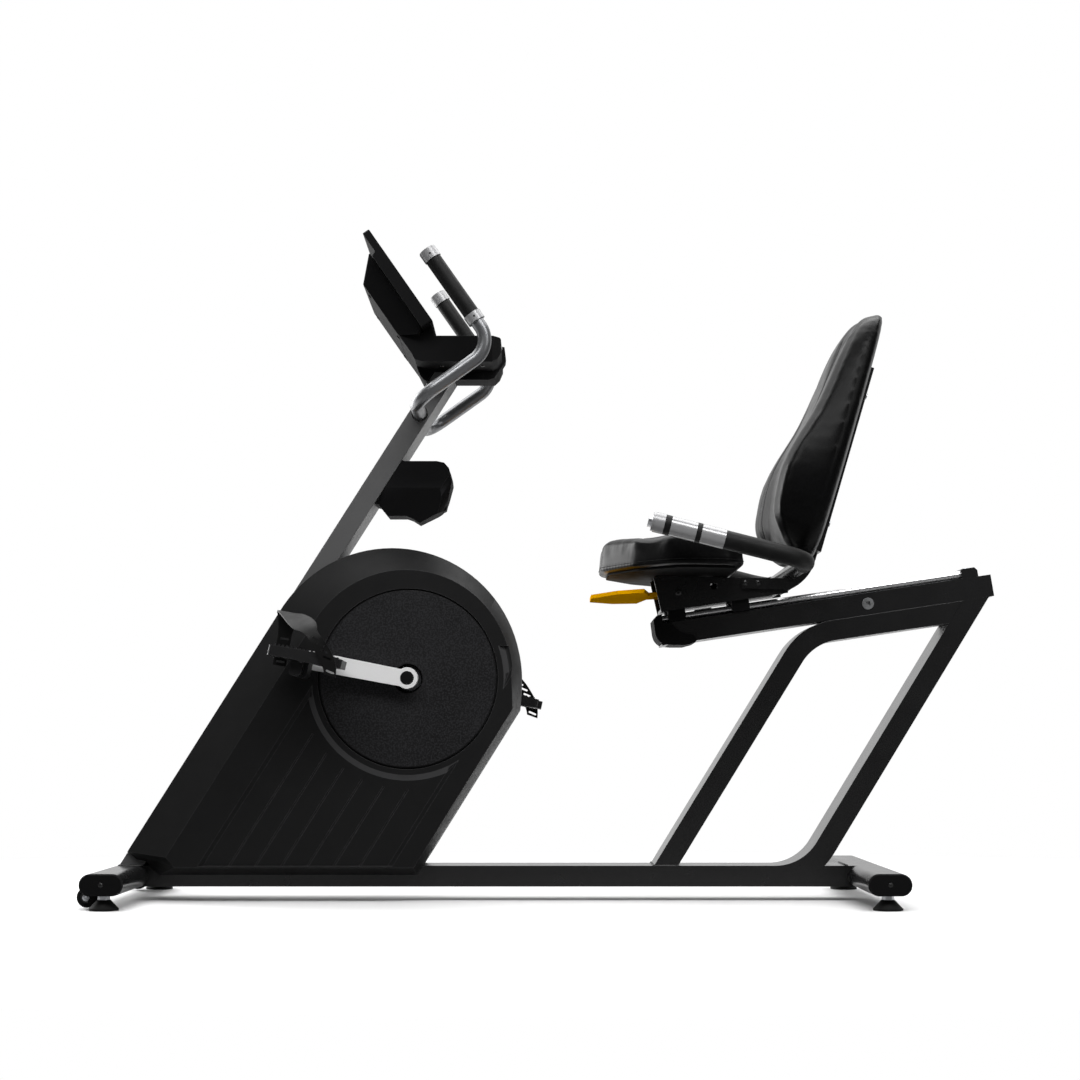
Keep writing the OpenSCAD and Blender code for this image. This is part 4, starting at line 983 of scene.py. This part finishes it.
@dataclass
class Upholstery:
    """The seat cushion and the backrest cushion."""

    finishes: Finishes
    seat_circles: tuple[Point, ...] = ((136, 46, 45), (195, 135, 58), (250, 184, 66), (290, 184, 56))
    back_lines: tuple[Point, ...] = ((424, 150, 668), (410, 152, 702), (412, 154, 740), (424, 154, 790),
                                     (448, 152, 840), (478, 147, 890), (504, 138, 945), (528, 126, 1000),
                                     (545, 108, 1040))
    seat_box: tuple[Vector, Vector] = field(
        default_factory=lambda: tuple(Vector(corner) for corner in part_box("seat_pad")))

    def build(self) -> None:
        """Builds both cushions."""
        seat_low, _ = self.seat_box
        Cushion(self.finishes, "seat_pad", "seat", self.seat_seams,
                pinned=lambda p: p.z < seat_low.z + 12 * MM, form=self.dish).build()
        Cushion(self.finishes, "backrest_pad", "seat", self.back_seams,
                pinned=lambda p: self.behind(p) < 14 * MM, give=0.22).build()

    def behind(self, point: Vector) -> float:
        """Returns how far a point lies in front of the backrest's rear face."""
        rear = design(481, 0, 627)
        return (rear.x + (point.z - rear.z) * math.tan(BACK_TILT) - point.x) * math.cos(BACK_TILT)

    def dish(self, point: Vector) -> Vector:
        """Hollows the seat's top for the rider, behind a raised front roll."""
        low, high = self.seat_box
        share = (point.z - low.z) / (high.z - low.z)
        along = (point.x - low.x) / (high.x - low.x)
        hollow = math.exp(-((along - 0.62) / 0.25) ** 2 - (point.y / (140 * MM)) ** 2)
        neck = math.exp(-((along - 0.34) / 0.15) ** 2)
        return point - Vector((0, 0, 9 * MM * hollow + 6 * MM * neck)) * max(0.0, share) ** 2

    def seat_seams(self, cushion: Cushion) -> list[Seam]:
        """Gives the seat's seams: one round its base and one round its top panel."""
        low, high = self.seat_box
        base = [Vector((p.x, p.y, low.z + 11 * MM)) for p in hull_outline(self.seat_circles, -4)]
        top = [Vector((p.x, p.y, high.z)) for p in hull_outline(self.seat_circles, 40)]
        return [Seam("base_stitches", base, True, 0.8 * MM, 2.5 * MM),
                Seam("top_stitches", smooth_path(top[::3], 4 * MM, True), True)]

    def back_seams(self, cushion: Cushion) -> list[Seam]:
        """Gives the backrest's seams: one down the inside of each bolster."""
        seams = []
        for side, name in ((-1, "left_stitches"), (1, "right_stitches")):
            path = [design(x - 12, side * (y - 44), z) for x, y, z in self.back_lines]
            seams.append(Seam(name, smooth_path(path, 4 * MM), depth=2.6 * MM, width=7 * MM))
        return seams


# ------------------------------------------------------------------------------------------- fittings

Place = tuple[Vector, Vector, Vector]


@dataclass(frozen=True)
class Tilted:
    """A flat place with its own axes: the seat rail, the screen or the backrest's plate."""

    origin: Vector
    along: Vector
    up: Vector

    def at(self, u: float, y: float, w: float) -> Vector:
        """Returns the point u along, y across and w up, in millimetres."""
        return self.origin + (self.along * u + Vector((0, y, 0)) + self.up * w) * MM

    @classmethod
    def rail(cls) -> "Tilted":
        """Returns the seat rail's top face: along it to the rear, and up off it."""
        return cls(design(200, 0, 508.7), Vector((math.cos(RAIL_TILT), 0, math.sin(RAIL_TILT))),
                   Vector((-math.sin(RAIL_TILT), 0, math.cos(RAIL_TILT))))

    @classmethod
    def screen(cls) -> "Tilted":
        """Returns the screen: out of it towards the rider, and up along it."""
        return cls(design(-218, 0, 1059), Vector((math.cos(SCREEN_TILT), 0, math.sin(SCREEN_TILT))),
                   Vector((-math.sin(SCREEN_TILT), 0, math.cos(SCREEN_TILT))))

    @classmethod
    def back(cls) -> "Tilted":
        """Returns the backrest's plate: out of its rear face, and up along it."""
        return cls(design(491, 0, 627), Vector((math.cos(BACK_TILT), 0, -math.sin(BACK_TILT))),
                   Vector((math.sin(BACK_TILT), 0, math.cos(BACK_TILT))))


class Head(Enum):
    """Kinds of screw head: rim radius, height, and radius of the hexagonal socket, for a size of 1."""

    BUTTON = (1.0, 0.5, 0.42)
    HEXAGON = (1.0, 0.62, 0.0)
    CAP = (1.0, 0.9, 0.55)

    def form(self, material: bpy.types.Material) -> bpy.types.Object:
        """Builds the head on a washer, standing on the origin along Z.

        Args:
            material: What it is made of.

        Returns:
            The form that a Repeater sets at each place.
        """
        rim, height, socket = self.value
        sides = 24
        rows = [(rim * 1.25, 0.0, 0), (rim * 1.25, 0.14, 0), (rim * 1.18, 0.18, 0)]
        if self is Head.HEXAGON:
            rows += [(rim, 0.18, 1), (rim, height * 0.88, 1), (rim * 0.86, height, 0), (0.02, height, 0)]
        else:
            crown = 0.6 if self is Head.BUTTON else 0.94
            rows += [(rim * 0.98, 0.18, 0), (rim, 0.26, 0), (rim * (0.5 + crown / 2), height * 0.86, 0),
                     (rim * crown, height, 0), (socket * 1.12, height, 0), (socket, height * 0.95, 1),
                     (socket, height * 0.35, 1), (0.02, height * 0.3, 0)]
        rings = []
        for radius, level, hexed in rows:
            ring = []
            for i in range(sides):
                a = 2 * math.pi * i / sides
                edge = math.cos(math.pi / 6) / math.cos((a % (math.pi / 3)) - math.pi / 6)
                r = radius * (edge if hexed else 1.0)
                ring.append(Vector((r * math.cos(a), r * math.sin(a), level)))
            rings.append(ring)
        bm = bmesh.new()
        add_rings(bm, rings)
        obj = from_bmesh("head_form", bm, material, smooth=False)
        sharp = bmesh.new()
        sharp.from_mesh(obj.data)
        for face in sharp.faces:
            face.smooth = abs(face.normal.z) < 0.9
        for edge in sharp.edges:
            edge.smooth = edge.calc_face_angle(0.0) < SMOOTH_LIMIT
        sharp.to_mesh(obj.data)
        sharp.free()
        return obj


@dataclass
class Fastenings:
    """Screws, bolts and nuts, one mesh for each kind and body."""

    finishes: Finishes

    def set(self, name: str, head: Head, size: float, places: Sequence[Place], body: str,
            finish: str = "zinc_steel", slot: str = "steel_zinc") -> None:
        """Sets one kind of head at its places.

        Args:
            name: The piece's name.
            head: The kind of head.
            size: Rim radius in millimetres.
            places: Foot, axis and direction across the axis of each.
            body: The body that they ride on.
            finish: Their finish.
            slot: Not used.
        """
        form = head.form(self.finishes[finish])
        piece = Repeater.spread(name, form, places, self.finishes[finish], size * MM)
        bpy.data.objects.remove(form)
        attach(piece, body)
        LOG.info("%s: %d on %s", name, len(places), body)

    def build(self) -> None:
        """Builds every group of fastenings."""
        out = {side: Vector((0, side, 0)) for side in (-1, 1)}
        ahead, up = Vector((1, 0, 0)), Vector((0, 0, 1))
        rail, screen, back = Tilted.rail(), Tilted.screen(), Tilted.back()
        both = (-1, 1)
        self.set("upright_screws", Head.BUTTON, 4.4,
                 [(design(x, s * 66.0, 584), out[s], ahead) for s in both for x in (360, 384)],
                 "seat", "frame_coat", "frame_paint")
        self.set("pivot_caps", Head.BUTTON, 5.4,
                 [(design(236, s * 60.0, 567), out[s], ahead) for s in both],
                 "seat", "frame_coat", "frame_paint")
        self.set("backrest_bolts", Head.CAP, 6.2,
                 [(back.at(0, s * 80, w), back.along, back.up) for s in both for w in (70, 320)], "seat")
        self.set("stop_bolts", Head.BUTTON, 5.0,
                 [(rail.at(587, s * 22, 18), rail.up, rail.along) for s in both], "base")
        self.set("strip_screws", Head.BUTTON, 3.2,
                 [(rail.at(u, 0, 4), rail.up, rail.along) for u in (36, 292, 548)], "base")
        self.set("cap_screws", Head.BUTTON, 3.4,
                 [(design(x, s * 285, 45), out[s], ahead) for s in both for x in (-777, 582)],
                 "base", "frame_coat", "frame_paint")
        self.set("wheel_pin_heads", Head.BUTTON, 5.0,
                 [(design(-812, s * 238, 20.5), out[s], ahead) for s in both], "base")
        self.set("shell_screws", Head.BUTTON, 3.6,
                 [(screen.at(-65, s * 96, w), -screen.along, screen.up) for s in both for w in (24, 118)],
                 "base", "trim_plastic", "black_plastic")
        self.set("tray_screws", Head.BUTTON, 3.4,
                 [(design(x, s * 86, 989), -up, ahead) for s in both for x in (-204, -128)],
                 "base", "frame_coat", "frame_paint")
        self.set("ring_screws", Head.BUTTON, 1.6, self.ring_places(), "base", "trim_plastic",
                 "black_plastic")
        self.set("deck_bolts", Head.HEXAGON, 5.0,
                 [(rail.at(u, s * 36, 26.7), rail.up, rail.along) for s in both for u in (28, 44, 148, 164)],
                 "seat")

    def ring_places(self) -> list[Place]:
        """Gives the set-screw of each aluminium ring on the upper handlebar."""
        top, foot = design(-227, 0, 1183.5), design(-104.7, 0, 1007.5)
        along = (foot - top).normalized()
        return [(top + along * s * MM + Vector((0, side * (183 + 16.4) * MM, 0)),
                 Vector((0, side, 0)), along) for side in (-1, 1) for s in (9.5, 151.5)]


@dataclass
class Welds:
    """Weld beads round the ends of the frame's tubes, with the ripple of each pass."""

    finishes: Finishes
    size: float = 2.2 * MM
    ripple: float = 3.4 * MM

    def bead(self, bm: bmesh.types.BMesh, path: Sequence[Vector], closed: bool = True) -> None:
        """Adds one rippled bead.

        Args:
            bm: The bmesh to add to.
            path: The corners that the bead follows.
            closed: The bead runs all the way round.
        """
        points = even_path(list(path) + ([path[0]] if closed else []), self.ripple / 3, closed)
        rings = []
        for i, (point, (_, side, up)) in enumerate(zip(points, frames_along(points, closed))):
            r = self.size * (1.0 + 0.13 * math.cos(2 * math.pi * i / 3))
            rings.append([point + (side * math.cos(a) + up * math.sin(a)) * r
                          for a in (2 * math.pi * k / 8 for k in range(8))])
        add_rings(bm, rings, capped=not closed, looped=closed)

    def build(self) -> bpy.types.Object:
        """Builds every bead on the frame as one piece.

        Returns:
            The piece.
        """
        bm = bmesh.new()
        half = 49.0
        for base_x in (-835, 148.2):
            foot = 64.0 / math.cos(LEAN)
            x0 = base_x + 64.0 * math.tan(LEAN)
            x1 = x0 + 38 / math.cos(LEAN)
            self.bead(bm, [design(x0, -half, 64), design(x1, -half, 64),
                           design(x1, half, 64), design(x0, half, 64)])
        for x, inner in ((-777 + 38, 1), (582 - 38, -1)):
            self.bead(bm, [design(x + inner, -half, 64), design(x + inner, half, 64)], closed=False)
        for s in (-1, 1):
            centre = design(-247, s * 50, 904.5)
            self.bead(bm, [centre + Vector((math.cos(a), 0, math.sin(a))) * 13.4 * MM
                           for a in (2 * math.pi * i / 40 for i in range(40))])
        piece = from_bmesh("frame_welds", bm, self.finishes["frame_coat"])
        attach(piece, "base")
        LOG.info("frame_welds built")
        return piece


@dataclass
class ConsoleFace:
    """Unlit display window and unmarked keys on the screen's glass."""

    finishes: Finishes
    window: tuple[float, float, float, float] = (-128, 128, 62, 184)
    key_rows: tuple[float, ...] = (40, 22)
    key_columns: tuple[float, ...] = (-112, -67, -22, 22, 67, 112)

    def build(self) -> None:
        """Builds the window and the keys."""
        screen = Tilted.screen()
        y0, y1, z0, z1 = self.window
        bm = bmesh.new()
        rings = [[screen.at(level, y, z) for y, z in self.corners(y0 - grow, y1 + grow, z0 - grow,
                                                                 z1 + grow, 5)]
                 for level, grow in ((-0.3, 0), (-0.05, 0), (0.0, -0.6))]
        add_rings(bm, rings)
        window = from_bmesh("display_window", bm, self.finishes["display_grey"], smooth=False)
        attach(window, "base")
        form = self.key_form()
        places = [(screen.at(-0.3, y, z), screen.along, Vector((0, 1, 0)))
                  for z in self.key_rows for y in self.key_columns]
        keys = Repeater.spread("console_keys", form, places, self.finishes["key_rubber"])
        bpy.data.objects.remove(form)
        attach(keys, "base")
        LOG.info("console_keys: %d keys", len(places))

    @staticmethod
    def corners(y0: float, y1: float, z0: float, z1: float, r: float) -> list[tuple[float, float]]:
        """Returns the outline of a rectangle with round corners."""
        points = []
        for cy, cz, start in ((y1 - r, z1 - r, 0), (y0 + r, z1 - r, 90), (y0 + r, z0 + r, 180),
                              (y1 - r, z0 + r, 270)):
            for k in range(7):
                a = math.radians(start + 15 * k)
                points.append((cy + r * math.cos(a), cz + r * math.sin(a)))
        return points

    def key_form(self) -> bpy.types.Object:
        """Returns one domed key, lying across Z."""
        bm = bmesh.new()
        rings = [[Vector((y * MM, z * MM, level * MM)) for y, z in self.corners(-15 + g, 15 - g, -5.5 + g,
                                                                               5.5 - g, 4)]
                 for level, g in ((0.0, 0.0), (0.5, 0.0), (0.9, 0.4), (1.1, 1.2), (1.15, 2.6))]
        add_rings(bm, rings)
        return from_bmesh("key_form", bm, self.finishes["key_rubber"])


@dataclass
class PedalStraps:
    """The rubber foot straps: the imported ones, with their edges rounded."""

    finishes: Finishes

    def build(self) -> None:
        """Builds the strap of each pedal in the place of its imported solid."""
        for side, body in (("left", "pedal_l"), ("right", "pedal_r")):
            node = f"pedal_strap_{side}"
            bm = bmesh.new()
            bm.from_mesh(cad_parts[node].data)
            bmesh.ops.remove_doubles(bm, verts=bm.verts, dist=0.01 * MM)
            bmesh.ops.dissolve_limit(bm, angle_limit=math.radians(0.5), verts=bm.verts, edges=bm.edges)
            strap = from_bmesh(node + "_band", bm, self.finishes["strap_rubber"], smooth=False)
            EdgeBreak(0.7, segments=3).apply(strap)
            baked(strap)
            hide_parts(node)
            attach(strap, body)
            LOG.info("%s built", strap.name)


@dataclass
class WheelTreads:
    """Moulded cross ribs round the transport wheels."""

    finishes: Finishes
    count: int = 28

    def build(self) -> None:
        """Builds the ribs of each wheel."""
        bm = bmesh.new()
        add_rings(bm, [[Vector((x * MM, y * MM, z * MM)) for x, z in ((-0.8, -0.5), (0.8, -0.5), (0.5, 0.45),
                                                                      (-0.5, 0.45))]
                       for y in (-6.5, 6.5)])
        form = from_bmesh("rib_form", bm, self.finishes["black_rubber"], smooth=False)
        for side, body in ((-1, "wheel_l"), (1, "wheel_r")):
            centre = design(-812, side * 222, 20.5)
            places = []
            for i in range(self.count):
                a = 2 * math.pi * i / self.count
                out = Vector((math.cos(a), 0, math.sin(a)))
                places.append((centre + out * 18.0 * MM, out, Vector((-math.sin(a), 0, math.cos(a)))))
            piece = Repeater.spread(f"wheel_ribs_{'left' if side < 0 else 'right'}", form, places,
                                    self.finishes["black_rubber"])
            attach(piece, body)
        bpy.data.objects.remove(form)
        LOG.info("wheel ribs built")


@dataclass
class BackBoard:
    """The moulded board behind the backrest's cushion."""

    finishes: Finishes
    rows: tuple[tuple[float, float], ...] = (
        (628, 0.58), (640, 0.76), (668, 0.88), (702, 0.925), (740, 0.945), (790, 0.945), (840, 0.925),
        (890, 0.895), (945, 0.845), (1000, 0.785), (1040, 0.70), (1066, 0.58), (1080, 0.42))
    half_width: float = 208 * 0.83

    def build(self) -> bpy.types.Object:
        """Builds the board.

        Returns:
            The piece.
        """
        back = Tilted.back()
        slope = math.cos(BACK_TILT)
        left = [Vector((0, -w * self.half_width, (z - 627) / slope)) for z, w in self.rows]
        right = [Vector((0, -p.y, p.z)) for p in reversed(left)]
        outline = smooth_path(left + right, 8.0, closed=True)
        middle = sum(outline, Vector()) / len(outline)
        rings = []
        for u, share in ((-15.0, 0.97), (-14.0, 1.0), (-11.0, 1.0), (-9.9, 0.985), (-9.6, 0.96)):
            rings.append([back.at(u, middle.y + (p.y - middle.y) * share, middle.z + (p.z - middle.z) * share)
                          for p in outline])
        bm = bmesh.new()
        add_rings(bm, rings)
        board = from_bmesh("backrest_board", bm, self.finishes["trim_plastic"], smooth=False)
        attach(board, "seat")
        LOG.info("backrest_board built")
        return board


# --------------------------------------------------------------------------------------------- studio

@dataclass
class Studio:
    """Pale floor, soft boxes, even surroundings and the camera."""

    camera_place: Point = (-0.018, -3.754, 0.2903)
    camera_rise: float = math.radians(5.787)
    camera_lens: float = 66.43
    floor_size: float = 60.0

    def build(self) -> None:
        """Builds everything round the bike."""
        self.camera()
        self.floor()
        self.world()
        self.soft_box("box_left", (-3.2, 2.4, 1.5), (0, 0, 0.7), (2.6, 3.0), 130)
        self.soft_box("box_right", (3.2, 2.4, 1.5), (0, 0, 0.6), (2.6, 3.0), 12)
        self.soft_box("box_top", (0, 0.6, 3.2), (0, 0, 0.4), (4.2, 2.6), 120)
        self.soft_box("box_front", (0.2, -2.4, 3.2), (0, 0, 0.5), (5.0, 1.2), 150)
        self.soft_box("box_near_right", (2.8, -2.6, 2.0), (0, 0, 0.5), (1.6, 1.8), 25)

    def camera(self) -> None:
        """Places the camera low in front of the left side."""
        data = bpy.data.cameras.new("camera")
        data.lens = self.camera_lens
        data.sensor_width = 36
        camera = bpy.data.objects.new("camera", data)
        camera.location = self.camera_place
        camera.rotation_euler = (math.pi / 2 + self.camera_rise, 0, 0)
        bpy.context.scene.collection.objects.link(camera)
        bpy.context.scene.camera = camera

    def floor(self) -> None:
        """Lays a white floor that keeps the bike's shadow and fades into the surroundings."""
        half = self.floor_size / 2
        mesh = bpy.data.meshes.new("floor")
        mesh.from_pydata([(-half, -half, 0), (half, -half, 0), (half, half, 0), (-half, half, 0)],
                         [], [(0, 1, 2, 3)])
        floor = bpy.data.objects.new("floor", mesh)
        bpy.context.scene.collection.objects.link(floor)
        g = Graph("floor_white")
        path = g.add("LightPath")
        seen = path.outputs["Is Camera Ray"]
        place = g.add("SeparateXYZ", Vector=g.coords)
        mirrored = g.math("MULTIPLY", path.outputs["Is Glossy Ray"], g.ramp(place.outputs["Y"], -0.6, 0.3))
        pale = g.math("MAXIMUM", seen, mirrored)
        g.principled(Base_Color=g.blend(pale, (0.16, 0.16, 0.16), (0.92, 0.92, 0.92)), Roughness=0.6,
                     Specular_IOR_Level=0.1)
        length = g.add("VectorMath", {"operation": "LENGTH"})
        g.feed(length.inputs[0], g.add("Mapping", Vector=g.coords, Scale=(0.75, 1.0, 1.0)).outputs["Vector"])
        far = g.ramp(length.outputs["Value"], 0.75, 1.6)
        white = g.add("Emission", Color=(1.0, 1.0, 1.0), Strength=1.0)
        mix = g.add("MixShader")
        g.feed(mix.inputs[0], g.math("MULTIPLY", far, seen))
        g.feed(mix.inputs[1], g.shader.outputs["BSDF"])
        g.feed(mix.inputs[2], white.outputs["Emission"])
        g.feed(g.output.inputs["Surface"], mix.outputs["Shader"])
        mesh.materials.append(g.material)

    def world(self) -> None:
        """Sets white surroundings for the eye and dimmer ones for the light on the bike."""
        world = bpy.data.worlds.new("surroundings")
        bpy.context.scene.world = world
        world.use_nodes = True
        tree = world.node_tree
        tree.nodes.clear()
        output = tree.nodes.new("ShaderNodeOutputWorld")
        path = tree.nodes.new("ShaderNodeLightPath")
        direct = tree.nodes.new("ShaderNodeMath")
        direct.operation = "MAXIMUM"
        tree.links.new(path.outputs["Is Camera Ray"], direct.inputs[0])
        tree.links.new(path.outputs["Is Transmission Ray"], direct.inputs[1])
        coords = tree.nodes.new("ShaderNodeTexCoord")
        split = tree.nodes.new("ShaderNodeSeparateXYZ")
        tree.links.new(coords.outputs["Generated"], split.inputs["Vector"])
        level = tree.nodes.new("ShaderNodeMath")
        level.operation = "MULTIPLY"
        ramps = (("Y", (-0.1, 0.5, 0.05, 1.0)), ("X", (0.1, 0.7, 1.0, 0.3)))
        for socket, (axis, limits) in zip(level.inputs, ramps):
            ramp = tree.nodes.new("ShaderNodeMapRange")
            tree.links.new(split.outputs[axis], ramp.inputs["Value"])
            for key, number in zip(("From Min", "From Max", "To Min", "To Max"), limits):
                ramp.inputs[key].default_value = number
            tree.links.new(ramp.outputs["Result"], socket)
        soft = tree.nodes.new("ShaderNodeBackground")
        tree.links.new(level.outputs["Value"], soft.inputs["Strength"])
        bright = tree.nodes.new("ShaderNodeBackground")
        bright.inputs["Strength"].default_value = 1.0
        for node in (soft, bright):
            node.inputs["Color"].default_value = (1, 1, 1, 1)
        mix = tree.nodes.new("ShaderNodeMixShader")
        tree.links.new(direct.outputs["Value"], mix.inputs[0])
        tree.links.new(soft.outputs["Background"], mix.inputs[1])
        tree.links.new(bright.outputs["Background"], mix.inputs[2])
        tree.links.new(mix.outputs["Shader"], output.inputs["Surface"])

    def soft_box(self, name: str, place: Point, target: Point, size: tuple[float, float],
                 power: float) -> None:
        """Hangs one area lamp.

        Args:
            name: The lamp's name.
            place: Where it hangs.
            target: What it points at.
            size: Width and height.
            power: Watts.
        """
        data = bpy.data.lights.new(name, "AREA")
        data.shape = "RECTANGLE"
        data.size, data.size_y = size
        data.energy = power
        lamp = bpy.data.objects.new(name, data)
        lamp.location = place
        lamp.rotation_euler = (Vector(target) - Vector(place)).to_track_quat("-Z", "Y").to_euler()
        bpy.context.scene.collection.objects.link(lamp)


# ----------------------------------------------------------------------------------------------- main


def main() -> None:
    """Builds the bike's looks in order and reports each piece."""
    logging.basicConfig(level=logging.INFO, format="%(message)s")
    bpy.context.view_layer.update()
    bpy.context.scene.view_settings.view_transform = "Standard"
    finishes = Finishes()
    Upholstery(finishes).build()
    BackBoard(finishes).build()
    PedalStraps(finishes).build()
    Fastenings(finishes).build()
    Welds(finishes).build()
    ConsoleFace(finishes).build()
    WheelTreads(finishes).build()
    PackedFinish(finishes).dress()
    Studio().build()


if __name__ == "__main__":
    main()
